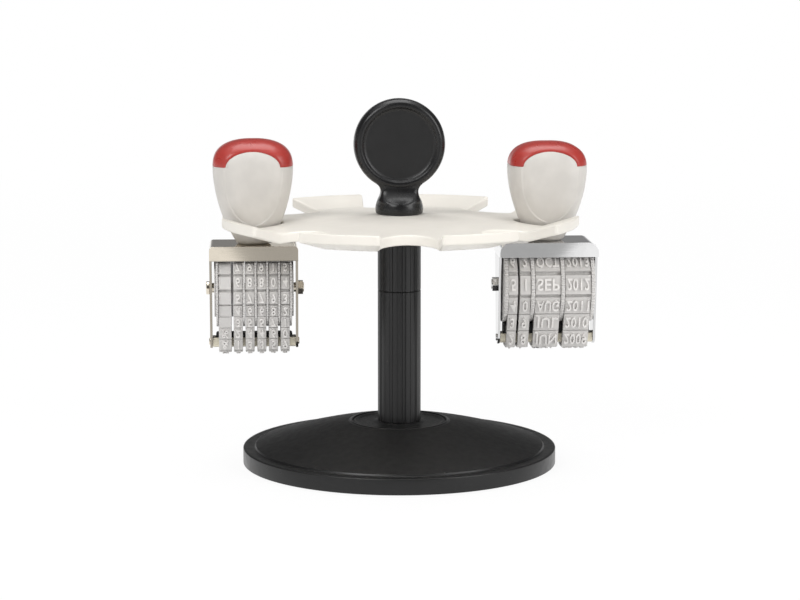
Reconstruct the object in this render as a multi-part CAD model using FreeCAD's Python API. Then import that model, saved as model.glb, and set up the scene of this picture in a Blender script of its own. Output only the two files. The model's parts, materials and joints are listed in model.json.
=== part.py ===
import FreeCAD, Part
import math
import os

# A desk carousel for hand stamps: a weighted round base, a fluted column, an eight-slot plate
# that turns on it, a carrying knob, and two band stamps hanging in opposite slots.
# Millimetres. Z is up, the column's axis is X = Y = 0, and the stamps hang on -X and +X.

# Base
base_r = 65.0
base_sides = 40
base_wall_h = 6.5
base_wall_t = 2.4
foot_proud = 0.3
shoulder_w = 5.0
dome_step = 0.7
dome_bulge = 0.8
dome_top_z = 17.6
rim_w = 0.7
cover_t = 2.0
cover_gap = 0.3
cover_hole_r = 15.0
ballast_t = 5.4
ballast_r = 38.0
ballast_hole_r = 16.0
pad_count = 4
hidden_sides = 24
pad_r = 5.5
pad_ring_r = 54.0

# Column, its foot and the journal in its top
column_r = 8.95
column_bore_r = 6.4
flute_count = 10
flute_w = 2.0
flute_depth = 0.6
foot_sides = 32
foot_r = 19.3
foot_t = 2.3
foot_dish = 0.4
foot_clear = 0.2
foot_sink = 0.2
collar_w = 2.0
collar_top_w = 0.8
foot_stub_r = 7.0
foot_stub_len = 6.4
foot_spigot_len = 12.0
socket_wall = 3.0
seam_z = 72.2
plug_len = 10.0
journal_r = 5.5
rod_r = 2.4
rod_tail = 0.3
nut_flange_r = 11.0
nut_flange_t = 1.2
nut_across = 8.0
nut_t = 4.0

# Slotted plate and its hub
plate_r = 74.0
plate_t = 4.1
plate_apex_z = 104.5
plate_drop = 4.7
lip_w = 14.8
lip_rise = 4.2
dish_sides = 24
slot_count = 8
slot_w = 23.5
slot_len = 26.4
slot_end_sides = 10
lip_corner_r = 1.6
hub_neck_r = 7.4
hub_neck_short = 0.4
hub_seat_r = 12.0

# Knob
knob_r = 18.75
knob_sides = 36
neck_sides = 24
knob_rise = 27.9
knob_half_t = 4.75
knob_field_r = 14.4
knob_field_depth = 1.5
knob_rim_round = 1.6
knob_neck_r = 7.75
knob_web_half_t = 3.6
knob_fillet_r = 4.0
knob_foot_r = 9.85
knob_foot_h = 4.4
knob_foot_widest = 0.4
knob_neck_tuck = 1.2
rod_in_knob = 9.0

# Stamps: their other heights are measured from the top of each stamp's frame
number_seat = 12.4
number_hang = 7.7
number_handle_h = 43.0
number_head_t = 1.45
number_bend_r = 1.6
number_side_gap = 0.9
number_knurl_r = 15.9
number_knurl_teeth = 20
number_disc_t = 0.8
number_spacer_t = 0.6
number_spacer_r = 11.9
number_gap = 0.15
number_first_band_w = 5.2
number_band_w = 3.7
number_bands = 6
number_rows = 18
number_bar_h = 1.8
date_seat = 13.3
date_hang = 7.2
date_handle_h = 40.85
date_handle_slim = 0.975
date_head_t = 0.4
date_bend_r = 4.0
date_side_gap = 0.7
date_knurl_r = 15.6
date_knurl_teeth = 18
date_disc_t = 1.4
date_gap = 0.2
date_slack = 0.4
day_tens_w = 3.9
day_units_w = 4.5
month_w = 10.5
year_w = 10.7
date_rows = 14
date_bar_h = 4.3
frame_depth = 24.0
frame_sheet = 1.0
bend_sides = 4
flange_h = 6.0
leg_top_depth = 17.0
leg_end_r = 4.2
leg_len = 43.6
axle_drop = 18.5
axle_r = 2.0
axle_nut_across = 5.4
axle_nut_t = 2.1
axle_tail = 0.4
spacer_sides = 20
knurl_depth = 0.5
wheel_sides = 12
bore_sides = 12
band_seat_r = 12.5
band_t = 1.4
row_t = 0.8
notch_w = 0.5
corner_steps = 4
arc_steps = 6
platen_bottom = 42.8
platen_h = 4.0
platen_half_depth = 3.4
platen_corner_r = 1.2
platen_corner_cut = 0.3
bar_half_depth = 2.8
bar_inset = 1.4
bar_end_r = 0.8
pin_drop = 40.8
pin_r = 1.4
pin_proud = 0.5
pin_grip = 4.0
tang_r = 1.85
tang_len = 14.0
tang_short = 1.0
tang_head_across = 7.0
tang_head_t = 1.0
handle_w = 33.0
handle_t = 26.4
handle_foot_w = 12.8
handle_foot_t = 12.2
handle_slot_z = 8.6
handle_corner_sides = 4
cap_t = 1.8
arch_half_w = 11.1

# Clearances and the like
running = 0.05
seat = 0.05
turning = 0.1
band_clear = 0.15
cap_seam = 0.08
rod_clear = 0.2
edge_break = 0.4
close = 0.01

# Handles above the slot: shares of the height from there to the top, of the width and of the
# thickness, and the rounding. They are nearly round in the slot and squarer in the hand.
handle_sections = (
    (0.0, 0.71, 0.826, 0.95),
    (0.273, 0.89, 0.932, 0.8),
    (0.593, 1.0, 1.0, 0.7),
    (0.782, 0.975, 0.97, 0.7),
    (0.919, 0.8, 0.795, 0.7),
    (1.0, 0.424, 0.417, 0.7),
)
cap_sections = handle_sections[-4:]
foot_rounding = 0.95
cap_edge = 0.7035
arch_top = 0.884

V = FreeCAD.Vector


# Simple solids


def cylinder(r, z0, z1):
    return Part.makeCylinder(r, z1 - z0, V(0, 0, z0))


def rod_x(r, x0, x1, z):
    return Part.makeCylinder(r, x1 - x0, V(x0, 0, z), V(1, 0, 0))


def box(x0, x1, y0, y1, z0, z1):
    return Part.makeBox(x1 - x0, y1 - y0, z1 - z0, V(x0, y0, z0))


def faceted(rings):
    """Solid in flat facets between closed rings of equally many corners, with its two ends closed."""
    faces = []
    count = len(rings[0])
    for low, high in zip(rings, rings[1:]):
        for k in range(count):
            n = (k + 1) % count
            for corners in ((low[k], low[n], high[n]), (low[k], high[n], high[k])):
                faces.append(Part.Face(Part.makePolygon([*corners, corners[0]])))
    for ring in (rings[0], rings[-1]):
        faces.append(Part.Face(Part.makePolygon(ring + [ring[0]])))
    return Part.Solid(Part.Shell(faces))


def ring(r, z, sides):
    return [V(r * math.cos(t), r * math.sin(t), z) for t in (2 * math.pi * k / sides for k in range(sides))]


def lathe(points, sides):
    """Many-sided solid turned about Z from a closed outline of (r, z), with no corner on the axis."""
    faces = []
    step = 2 * math.pi / sides
    for i, (r0, z0) in enumerate(points):
        r1, z1 = points[(i + 1) % len(points)]
        for k in range(sides):
            a = V(math.cos(k * step), math.sin(k * step), 0)
            b = V(math.cos((k + 1) * step), math.sin((k + 1) * step), 0)
            low = V(0, 0, z0)
            high = V(0, 0, z1)
            corners = [a * r0 + low, b * r0 + low, b * r1 + high, a * r1 + high]
            faces.append(Part.Face(Part.makePolygon(corners + [corners[0]])))
    return Part.Solid(Part.Shell(faces))


def plain_ring(r, hole_r, z0, z1, sides):
    return lathe([(hole_r, z0), (r, z0), (r, z1), (hole_r, z1)], sides)


def prism(points, direction):
    """Straight extrusion of a closed polygon of vectors."""
    return Part.Face(Part.makePolygon(points + [points[0]])).extrude(direction)


def hexagon_x(across, x0, x1, z):
    corner = across / (2 * math.cos(math.pi / 6))
    points = []
    for k in range(6):
        a = math.radians(60 * k)
        points.append(V(x0, corner * math.cos(a), z + corner * math.sin(a)))
    return prism(points, V(x1 - x0, 0, 0))


def around(shape, count, phase=0.0):
    """Copies of a shape at equal angles about the column's axis."""
    copies = []
    for k in range(count):
        copy = shape.copy()
        copy.rotate(V(0, 0, 0), V(0, 0, 1), phase + 360.0 * k / count)
        copies.append(copy)
    return copies


def hexagon_z(across, z0, z1):
    corner = across / (2 * math.cos(math.pi / 6))
    points = []
    for k in range(6):
        a = math.radians(60 * k)
        points.append(V(corner * math.cos(a), corner * math.sin(a), z0))
    return prism(points, V(0, 0, z1 - z0))


def save(name, shape):
    solids = shape.Solids
    shape = solids[0] if len(solids) == 1 else Part.makeCompound(solids)
    if not solids or not shape.isValid():
        raise ValueError(name + " is not a valid solid")
    shape.exportStep(os.path.join("parts", name + ".step"))


# Base and column

floor_z = foot_proud
wall_top_z = foot_proud + base_wall_h
shoulder_in_r = base_r - shoulder_w
dome_foot_z = wall_top_z + dome_step
recess_r = foot_r + foot_clear
recess_z = dome_top_z - foot_sink - foot_t
column_z0 = recess_z + foot_t
column_z1 = seam_z - turning
boss_z0 = recess_z - foot_stub_len
cover_r = base_r - base_wall_t - cover_gap
cover_top_z = floor_z + cover_t
plate_fold_r = plate_r - lip_w
plate_fold_z = plate_apex_z - plate_drop
plate_lip_z = plate_fold_z + lip_rise
plate_slope = plate_drop / plate_fold_r
plate_bore_r = (hub_neck_r + seat) / math.cos(math.pi / dish_sides)
slot_inner_r = plate_r - slot_len
journal_top_z = plate_apex_z - plate_slope * plate_bore_r + turning
knob_centre_z = plate_apex_z + knob_rise
number_x = -slot_inner_r - number_seat
number_top_z = plate_fold_z - number_hang
date_x = slot_inner_r + date_seat
date_top_z = plate_fold_z - date_hang
plate_under_z = plate_apex_z - plate_t - plate_slope * hub_seat_r


def dome_point(r):
    """Height of the base's outside at a radius between the rim and the shoulder."""
    u = (shoulder_in_r - r) / (shoulder_in_r - recess_r - rim_w)
    return dome_foot_z + (dome_top_z - dome_foot_z) * u + 4 * dome_bulge * u * (1 - u)


def base_shell():
    """Domed moulding with a low side wall, a recess for the foot and a socket for its stub."""
    mid_r = (shoulder_in_r + recess_r + rim_w) / 2
    t = base_wall_t
    roof_z = recess_z - t
    return lathe(
        [
            (base_r, floor_z),
            (base_r, wall_top_z),
            (shoulder_in_r, wall_top_z),
            (shoulder_in_r, dome_foot_z),
            (mid_r, dome_point(mid_r)),
            (recess_r + rim_w, dome_top_z),
            (recess_r, dome_top_z),
            (recess_r, recess_z),
            (foot_stub_r + seat, recess_z),
            (foot_stub_r + seat, boss_z0),
            (foot_stub_r + seat + socket_wall, boss_z0),
            (foot_stub_r + seat + socket_wall, roof_z),
            (recess_r, roof_z),
            (shoulder_in_r - t, wall_top_z - t),
            (base_r - t, wall_top_z - t),
            (base_r - t, floor_z),
        ],
        base_sides,
    )


def base_cover():
    return plain_ring(cover_r, cover_hole_r, floor_z, cover_top_z, base_sides)


def foot_pads():
    pad = prism(ring(pad_r, 0, hidden_sides), V(0, 0, floor_z))
    pad.translate(V(pad_ring_r, 0, 0))
    return Part.makeCompound(around(pad, pad_count))


def ballast_ring():
    return plain_ring(ballast_r, ballast_hole_r, cover_top_z, cover_top_z + ballast_t, base_sides)


def column_foot():
    """Dished disc with a stub down into the base and a spigot up into the column."""
    spigot_r = column_bore_r - seat
    top_z = column_z0 + foot_spigot_len
    return lathe(
        [
            (rod_r + rod_clear, boss_z0),
            (foot_stub_r, boss_z0),
            (foot_stub_r, recess_z),
            (foot_r, recess_z),
            (foot_r, column_z0 - foot_dish),
            (column_r + collar_w, column_z0 - foot_dish),
            (column_r + collar_top_w, column_z0),
            (spigot_r, column_z0),
            (spigot_r, top_z),
            (rod_r + rod_clear, top_z),
        ],
        foot_sides,
    )


def fluted(z0, z1, bore_r):
    """Round tube with flutes down its outside, one of them facing -Y."""
    bottom = flute_depth - column_r
    half = flute_w / 2
    corners = [(-half, -column_r), (-half / 2, bottom), (half / 2, bottom), (half, -column_r)]
    cutter = prism([V(x, y, z0) for x, y in corners], V(0, 0, z1 - z0))
    bar = cylinder(column_r, z0, z1)
    bar = bar.cut(Part.makeCompound(around(cutter, flute_count)))
    return bar.cut(cylinder(bore_r, z0, z1))


def column():
    return fluted(column_z0, column_z1, column_bore_r)


def bearing_spigot():
    """Plug in the column's top that goes on as the journal of the plate's hub."""
    return lathe(
        [
            (rod_r + rod_clear, column_z1 - plug_len),
            (column_bore_r - seat, column_z1 - plug_len),
            (column_bore_r - seat, column_z1),
            (journal_r, column_z1),
            (journal_r, journal_top_z),
            (rod_r + rod_clear, journal_top_z),
        ],
        hidden_sides,
    )


def clamp_nut():
    """Flanged nut that pulls the stack together from under the base."""
    z1 = boss_z0
    flange = prism(ring(nut_flange_r, z1 - nut_flange_t, hidden_sides), V(0, 0, nut_flange_t))
    nut = flange.fuse(hexagon_z(nut_across, z1 - nut_t, z1 - nut_flange_t))
    return nut.cut(cylinder(rod_r + seat, z1 - nut_t, z1))


def tie_rod():
    return cylinder(rod_r, boss_z0 - nut_t - rod_tail, journal_top_z + rod_in_knob)


# Slotted plate and hub


def plate_top(r):
    if r <= plate_fold_r:
        return plate_apex_z - plate_slope * r
    return plate_fold_z + (plate_lip_z - plate_fold_z) * (r - plate_fold_r) / lip_w


def carousel_plate():
    over_r = plate_r + plate_t
    dish = lathe(
        [
            (plate_bore_r, plate_top(plate_bore_r)),
            (plate_fold_r, plate_fold_z),
            (over_r, plate_top(over_r)),
            (over_r, plate_top(over_r) - plate_t),
            (plate_fold_r, plate_fold_z - plate_t),
            (hub_seat_r, plate_under_z),
            (plate_bore_r, plate_under_z),
        ],
        dish_sides,
    )
    z0 = plate_fold_z - 2 * plate_t
    z1 = plate_apex_z + plate_t
    blank = cylinder(plate_r, z0, z1)
    half = slot_w / 2
    outline = [V(over_r, half, z0)]
    for k in range(slot_end_sides + 1):
        t = math.pi * (0.5 + k / slot_end_sides)
        outline.append(V(slot_inner_r + half + half * math.cos(t), half * math.sin(t), z0))
    outline.append(V(over_r, -half, z0))
    slot = prism(outline, V(0, 0, z1 - z0))
    for one in around(slot, slot_count):
        blank = blank.cut(one)
    corners = []
    for edge in blank.Edges:
        upright = abs(edge.Vertexes[0].X - edge.Vertexes[-1].X) < 1e-6
        upright = upright and edge.Length > (z1 - z0) * 0.99
        reach = math.hypot(edge.Vertexes[0].X, edge.Vertexes[0].Y)
        if upright and reach > plate_r - close:
            corners.append(edge)
    blank = blank.makeFillet(lip_corner_r, corners)
    return dish.common(blank)


def carousel_hub():
    """Fluted sleeve round the journal, with a neck up into the plate."""
    hub = fluted(seam_z, plate_under_z, journal_r + running)
    neck = cylinder(hub_neck_r, plate_under_z, plate_top(hub_neck_r) - hub_neck_short)
    bore = cylinder(journal_r + running, seam_z, plate_apex_z)
    return hub.fuse(neck).removeSplitter().cut(bore)


# Knob


def knob():
    """Flat round grip with a raised rim, joined by a web to a turned neck and foot bead."""
    c = knob_centre_z
    h = knob_half_t
    q = knob_rim_round
    field = h - knob_field_depth
    z0 = journal_top_z
    slope_r = knob_field_r + knob_field_depth / 2
    side = [(knob_field_r, field), (slope_r, h), (knob_r - q, h), (knob_r, h - q)]
    side += [(r, -y) for r, y in reversed(side)]
    disc = faceted([ring(r, y, knob_sides) for r, y in side])
    disc.rotate(V(0, 0, 0), V(1, 0, 0), 90)
    disc.translate(V(0, 0, c))
    reach = knob_r + knob_fillet_r
    side = knob_neck_r + knob_fillet_r
    fillet_z = c - math.sqrt(reach * reach - side * side)
    touch = V(side, 0, fillet_z) + V(-side, 0, c - fillet_z) * (knob_fillet_r / reach)
    toward = V(touch.x - side - knob_fillet_r, 0, touch.z - fillet_z)
    middle = V(side, 0, fillet_z) + toward * (knob_fillet_r / toward.Length)
    flare_right = Part.Arc(V(knob_neck_r, 0, fillet_z), middle, touch).toShape()
    flare_left = flare_right.mirror(V(0, 0, 0), V(1, 0, 0))
    top = Part.makeLine(V(-touch.x, 0, touch.z), touch)
    bottom = Part.makeLine(V(-knob_neck_r, 0, fillet_z), V(knob_neck_r, 0, fillet_z))
    web = Part.Face(Part.Wire(Part.__sortEdges__([flare_right, top, flare_left, bottom])))
    web.translate(V(0, -knob_web_half_t, 0))
    web = web.extrude(V(0, 2 * knob_web_half_t, 0))
    bead_z = z0 + knob_foot_h
    neck = [
        (knob_foot_r - edge_break, z0),
        (knob_foot_r, z0 + knob_foot_h * knob_foot_widest),
        (knob_foot_r - edge_break, bead_z),
        (knob_neck_r + edge_break, (bead_z + fillet_z) / 2),
        (knob_neck_r, fillet_z),
        (knob_web_half_t, fillet_z + knob_neck_tuck),
    ]
    neck = faceted([ring(r, z, neck_sides) for r, z in neck])
    socket = cylinder(rod_r + seat, z0, z0 + rod_in_knob)
    return neck.fuse(web).fuse(disc).cut(socket)


# Stamps

number_stack = [("spacer", number_spacer_t, 0), ("disc", number_disc_t, 1)]
number_stack += [("band", number_first_band_w, 1), ("spacer", number_spacer_t, 0)]
for index in range(2, number_bands + 1):
    number_stack += [("band", number_band_w, index), ("disc", number_disc_t, index)]
number_stack.append(("spacer", number_spacer_t, 0))

date_stack = [("disc", date_disc_t, 1), ("band", day_tens_w, 1)]
date_stack += [("slack", date_slack, 0), ("band", day_units_w, 2), ("disc", date_disc_t, 2)]
date_stack += [("band", month_w, 3), ("disc", date_disc_t, 3)]
date_stack += [("band", year_w, 4), ("disc", date_disc_t, 4)]


def laid_out(stack, gap):
    """The stack along the axle as (kind, left, right, index), centred on the stamp."""
    total = sum(item[1] for item in stack) + gap * (len(stack) - 1)
    left = -total / 2
    items = []
    for kind, thickness, index in stack:
        items.append((kind, left, left + thickness, index))
        left += thickness + gap
    return items


def inner_half(items, side_gap):
    return items[-1][2] + side_gap


def find(items, kind, index):
    for item in items:
        if item[0] == kind and item[3] == index:
            return item[1], item[2]
    raise ValueError("no such item on the axle")


def cap_outline(half, top, bottom, bend, y):
    """Corners of the frame's front view: straight sides and a top with bent corners."""
    points = [V(half, y, bottom)]
    for k in range(bend_sides + 1):
        t = math.pi / 2 * k / bend_sides
        points.append(V(half - bend + bend * math.cos(t), y, top - bend + bend * math.sin(t)))
    return points + [V(-p.x, y, p.z) for p in reversed(points)]


def frame(half, bend_r):
    """Pressed sheet: a top with front and back flanges, and two legs that taper to round ends."""
    outer = half + frame_sheet
    depth = frame_depth / 2
    inner_y = depth - frame_sheet
    low = -leg_len
    block = prism(cap_outline(outer, 0, low, bend_r, -depth), V(0, 2 * depth, 0))
    inner_bend = max(bend_r - frame_sheet, frame_sheet / 2)
    hollow = prism(cap_outline(half, -frame_sheet, low, inner_bend, -inner_y), V(0, 2 * inner_y, 0))
    block = block.cut(hollow).cut(box(-half, half, -depth, depth, low, -flange_h))
    end_z = leg_end_r - leg_len
    top_y = leg_top_depth / 2
    lean = math.atan2(top_y, -flange_h - end_z)
    lean -= math.asin(leg_end_r / math.hypot(top_y, -flange_h - end_z))
    touch_y = leg_end_r * math.cos(lean)
    touch_z = end_z - leg_end_r * math.sin(lean)
    side = [(depth, 0), (depth, -flange_h), (top_y, -flange_h), (touch_y, touch_z)]
    side += [(-y, z) for y, z in reversed(side)]
    leg = prism([V(-outer, y, z) for y, z in side], V(2 * outer, 0, 0))
    block = block.common(leg.fuse(rod_x(leg_end_r, -outer, outer, end_z)))
    block = block.cut(rod_x(axle_r + seat, -outer, outer, -axle_drop))
    block = block.cut(rod_x(pin_r + seat, -outer, outer, -pin_drop))
    return block.cut(cylinder(tang_r + seat, -frame_sheet, 0)).removeSplitter()


def is_edge_along_y(edge, x, z):
    for vertex in edge.Vertexes:
        if abs(abs(vertex.X) - x) > 1e-6 or abs(vertex.Z - z) > 1e-6:
            return False
    return abs(edge.Vertexes[0].X - edge.Vertexes[-1].X) < 1e-6


def rounded(a, b, share, z):
    """Corners of a rectangle of half-axes a and b, its own corners rounded by a share of b."""
    r = share * b
    corners = []
    for quarter, (sx, sy) in enumerate(((1, 1), (-1, 1), (-1, -1), (1, -1))):
        for k in range(handle_corner_sides + 1):
            t = math.pi / 2 * (quarter + k / handle_corner_sides)
            corners.append(V(sx * (a - r) + r * math.cos(t), sy * (b - r) + r * math.sin(t), z))
    return corners


def handle_z(share, height):
    """Height above the frame of a share of the handle above its slot."""
    return handle_slot_z + share * (height - handle_slot_z)


def handle_rings(sections, height, slim, inset):
    """Sections of the handle, drawn in and down by an inset."""
    rings = []
    for share, wide, thick, rounding in sections:
        half_w = wide * slim * handle_w / 2 - inset
        half_t = thick * handle_t / 2 - inset
        rings.append(rounded(half_w, half_t, rounding, handle_z(share, height) - inset))
    return rings


def handle_form(height, slim):
    foot = rounded(handle_foot_w * slim / 2, handle_foot_t / 2, foot_rounding, 0)
    return faceted([foot] + handle_rings(handle_sections, height, slim, 0))


def handle_core(height, slim, inset):
    """The part of the handle that fills the cap, an even wall inside it."""
    return faceted(handle_rings(cap_sections, height, slim, inset))


def arch(height, slim, grow):
    """Prism of the front panel's arched top, through the handle from front to back."""
    w = arch_half_w * slim + grow
    low = handle_z(cap_sections[0][0], height)
    shoulder = handle_z(cap_edge, height)
    top = handle_z(arch_top, height) + grow
    crown = Part.Arc(V(-w, 0, shoulder), V(0, 0, top), V(w, 0, shoulder)).toShape()
    sides = Part.makePolygon([V(w, 0, shoulder), V(w, 0, low), V(-w, 0, low), V(-w, 0, shoulder)])
    face = Part.Face(Part.Wire([crown] + sides.Edges))
    face.translate(V(0, -handle_w, 0))
    return face.extrude(V(0, 2 * handle_w, 0))


def cap_zone(height, slim, seam):
    level = handle_z(cap_edge, height) + seam
    zone = box(-handle_w, handle_w, -handle_w, handle_w, level, height + cap_t)
    return zone.cut(arch(height, slim, seam))


def handle(height, slim=1.0):
    zone = cap_zone(height, slim, 0).cut(handle_core(height, slim, cap_t))
    return handle_form(height, slim).cut(zone).cut(cylinder(tang_r + seat, 0, tang_len))


def cap(height, slim=1.0):
    solid = handle_form(height, slim).common(cap_zone(height, slim, cap_seam))
    return solid.cut(handle_core(height, slim, cap_t - seat))


def handle_screw():
    head = hexagon_z(tang_head_across, -frame_sheet - tang_head_t, -frame_sheet)
    return head.fuse(cylinder(tang_r, -frame_sheet, tang_len - tang_short)).removeSplitter()


def axle(half, head_t, side):
    """Pin through both legs: its head is on the side of that sign, its tail comes out of the nut."""
    outer = half + frame_sheet
    pin = rod_x(axle_r, -outer, outer + axle_nut_t + axle_tail, -axle_drop)
    pin = pin.fuse(rod_x(axle_nut_across / 2, -outer - head_t, -outer, -axle_drop))
    return pin if side < 0 else turned_about(pin)


def axle_nut(half, side):
    """Nut on the axle's tail, on the side away from the head."""
    outer = half + frame_sheet
    nut = hexagon_x(axle_nut_across, outer, outer + axle_nut_t, -axle_drop)
    nut = nut.cut(rod_x(axle_r + seat, outer, outer + axle_nut_t, -axle_drop))
    return nut if side < 0 else turned_about(nut)


def turned_about(shape):
    copy = shape.copy()
    copy.rotate(V(0, 0, 0), V(0, 0, 1), 180)
    return copy


def disc_x(radius, sides, x0, x1, depth=0.0):
    """Many-sided disc on the axle; with a depth, every other corner is sunk by it."""
    points = []
    for k in range(sides):
        a = 2 * math.pi * k / sides
        r = radius - depth * (k % 2)
        points.append(V(x0, r * math.sin(a), r * math.cos(a) - axle_drop))
    return prism(points, V(x1 - x0, 0, 0))


def axle_hole(clearance, x0, x1):
    """Many-sided hole whose flats clear the axle by the clearance."""
    return disc_x((axle_r + clearance) / math.cos(math.pi / bore_sides), bore_sides, x0, x1)


def spacers(items, radius):
    discs = []
    for kind, x0, x1, index in items:
        if kind == "spacer":
            disc = disc_x(radius, spacer_sides, x0, x1)
            discs.append(disc.cut(axle_hole(seat, x0, x1)))
    return Part.makeCompound(discs)


def wheel(items, index, knurl_r, teeth):
    """Thin knurled disc with a many-sided hub that carries and drives its band."""
    disc_x0, disc_x1 = find(items, "disc", index)
    band_x0, band_x1 = find(items, "band", index)
    disc = disc_x(knurl_r, 2 * teeth, disc_x0, disc_x1, knurl_depth)
    hub_x0 = min(disc_x1, band_x0)
    hub_x1 = max(disc_x0, band_x1)
    hub = disc_x(band_seat_r - band_clear, wheel_sides, hub_x0, hub_x1)
    bore = axle_hole(running, min(disc_x0, hub_x0), max(disc_x1, hub_x1))
    return disc.fuse(hub).cut(bore)


class BandPath:
    """The loop of a band round its wheel and the platen, at a distance out from its inside."""

    def __init__(self, offset):
        self.wheel = (0.0, -axle_drop, band_seat_r + offset)
        corner_y = platen_half_depth - platen_corner_r
        self.corner = (corner_y, platen_corner_r - platen_bottom, platen_corner_r + offset)
        drop = self.corner[1] - self.wheel[1]
        length = math.hypot(corner_y, drop)
        share = (self.wheel[2] - self.corner[2]) / length
        self.tilt = math.acos(share) + math.atan2(drop, corner_y)
        self.run = math.sqrt(length * length - (self.wheel[2] - self.corner[2]) ** 2)
        self.bends = (corner_y, self.corner[2] * (math.pi / 2 + self.tilt), self.run)
        self.half_length = sum(self.bends) + self.wheel[2] * (math.pi / 2 - self.tilt)

    def at(self, s):
        """Point and outward direction at a length s from the middle of the bottom, toward +Y."""
        sign = 1 if s >= 0 else -1
        s = abs(s)
        flat, bend, run = self.bends
        if s <= flat:
            y, z, a = s, self.corner[1] - self.corner[2], -math.pi / 2
        elif s <= flat + bend:
            a = -math.pi / 2 + (s - flat) / self.corner[2]
            y = self.corner[0] + self.corner[2] * math.cos(a)
            z = self.corner[1] + self.corner[2] * math.sin(a)
        elif s <= flat + bend + run:
            a = self.tilt
            along = s - flat - bend
            y = self.corner[0] + self.corner[2] * math.cos(a) - along * math.sin(a)
            z = self.corner[1] + self.corner[2] * math.sin(a) + along * math.cos(a)
        else:
            a = self.tilt + (s - flat - bend - run) / self.wheel[2]
            y = self.wheel[2] * math.cos(a)
            z = self.wheel[1] + self.wheel[2] * math.sin(a)
        return V(0, sign * y, z), V(0, sign * math.cos(a), math.sin(a))


def type_rows(rows):
    """Corners of the band's outside: flat rows of type with a notch between neighbours."""
    path = BandPath(0.0)
    out = band_t + row_t
    pitch = 2 * path.half_length / rows
    points = []
    for k in range(rows):
        s = (k + 0.5) * pitch
        if s > path.half_length:
            s -= 2 * path.half_length
        p, n = path.at(s)
        along = V(0, -n.z, n.y) * (notch_w / 2)
        points += [p + n * out - along, p + n * (out - row_t), p + n * out + along]
    return points


def inside_points():
    """Corners of the band's inside, which lies close round the platen and the wheel's hub."""
    path = BandPath(seat)
    flat, bend, run = path.bends
    arc = path.half_length - flat - bend - run
    lengths = [flat + bend * k / corner_steps for k in range(corner_steps + 1)]
    lengths += [flat + bend + run + arc * k / arc_steps for k in range(arc_steps + 1)]
    right = [path.at(s)[0] for s in lengths]
    left = [V(p.x, -p.y, p.z) for p in reversed(right[:-1])]
    return right + left


def band(items, index, rows):
    """Rubber loop whose outside is cut into one flat row of type after another."""
    x0, x1 = find(items, "band", index)
    start = V(x0, 0, 0)
    across = V(x1 - x0, 0, 0)
    loop = prism([p + start for p in type_rows(rows)], across)
    return loop.cut(prism([p + start for p in inside_points()], across))


def platen(half):
    """Bar across the legs that presses the bottom rows flat, with broken lower edges."""
    z0 = -platen_bottom
    y1 = platen_half_depth
    q = platen_corner_r
    x1 = half - seat
    cut = q * platen_corner_cut
    points = [(y1, z0 + platen_h), (y1, z0 + q), (y1 - cut, z0 + cut), (y1 - q, z0)]
    points += [(-y, z) for y, z in reversed(points)]
    body = prism([V(-x1, y, z) for y, z in points], V(2 * x1, 0, 0))
    for sign in (-1, 1):
        ends = sorted((sign * x1, sign * (half - pin_grip)))
        body = body.cut(rod_x(pin_r + seat, ends[0], ends[1], -pin_drop))
    return body


def platen_bar(half, height):
    z0 = platen_h - platen_bottom
    x1 = half - bar_inset
    y1 = bar_half_depth
    bar = box(-x1, x1, -y1, y1, z0, z0 + height)
    edges = [e for e in bar.Edges if is_edge_along_y(e, x1, z0 + height)]
    return bar.makeFillet(bar_end_r, edges)


def platen_pins(half):
    end = half + frame_sheet + pin_proud
    grip = half - pin_grip
    return Part.makeCompound([rod_x(pin_r, -end, -grip, -pin_drop), rod_x(pin_r, grip, end, -pin_drop)])


def save_stamp(name, pieces, centre_x, top_z):
    for piece, shape in pieces.items():
        moved = shape.copy()
        moved.translate(V(centre_x, 0, top_z))
        save(name + "_" + piece, moved)


def number_stamp():
    items = laid_out(number_stack, number_gap)
    half = inner_half(items, number_side_gap)
    pieces = {
        "handle": handle(number_handle_h),
        "cap": cap(number_handle_h),
        "handle_screw": handle_screw(),
        "frame": frame(half, number_bend_r),
        "axle": axle(half, number_head_t, -1),
        "axle_nut": axle_nut(half, -1),
        "spacer_discs": spacers(items, number_spacer_r),
        "platen": platen(half),
        "platen_bar": platen_bar(half, number_bar_h),
        "platen_pins": platen_pins(half),
    }
    for k in range(1, number_bands + 1):
        pieces["wheel_" + str(k)] = wheel(items, k, number_knurl_r, number_knurl_teeth)
        pieces["band_" + str(k)] = band(items, k, number_rows)
    save_stamp("number", pieces, number_x, number_top_z)


def date_stamp():
    items = laid_out(date_stack, date_gap)
    half = inner_half(items, date_side_gap)
    pieces = {
        "handle": handle(date_handle_h, date_handle_slim),
        "cap": cap(date_handle_h, date_handle_slim),
        "handle_screw": handle_screw(),
        "frame": frame(half, date_bend_r),
        "axle": axle(half, date_head_t, 1),
        "axle_nut": axle_nut(half, 1),
        "platen": platen(half),
        "platen_bar": platen_bar(half, date_bar_h),
        "platen_pins": platen_pins(half),
    }
    for k, what in enumerate(("day_tens", "day_units", "month", "year"), 1):
        pieces[what + "_wheel"] = wheel(items, k, date_knurl_r, date_knurl_teeth)
        pieces[what + "_band"] = band(items, k, date_rows)
    save_stamp("date", pieces, date_x, date_top_z)


def main():
    os.makedirs("parts", exist_ok=True)
    stand = {
        "base_shell": base_shell(),
        "base_cover": base_cover(),
        "foot_pads": foot_pads(),
        "ballast_ring": ballast_ring(),
        "column_foot": column_foot(),
        "column": column(),
        "bearing_spigot": bearing_spigot(),
        "clamp_nut": clamp_nut(),
        "tie_rod": tie_rod(),
        "knob": knob(),
        "carousel_plate": carousel_plate(),
        "carousel_hub": carousel_hub(),
    }
    for name, shape in stand.items():
        save(name, shape)
    number_stamp()
    date_stamp()


main()
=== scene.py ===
import bpy
import bmesh
import json
import math
from mathutils import Matrix, Vector
from mathutils.geometry import delaunay_2d_cdt
from types import SimpleNamespace as Sizes

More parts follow.
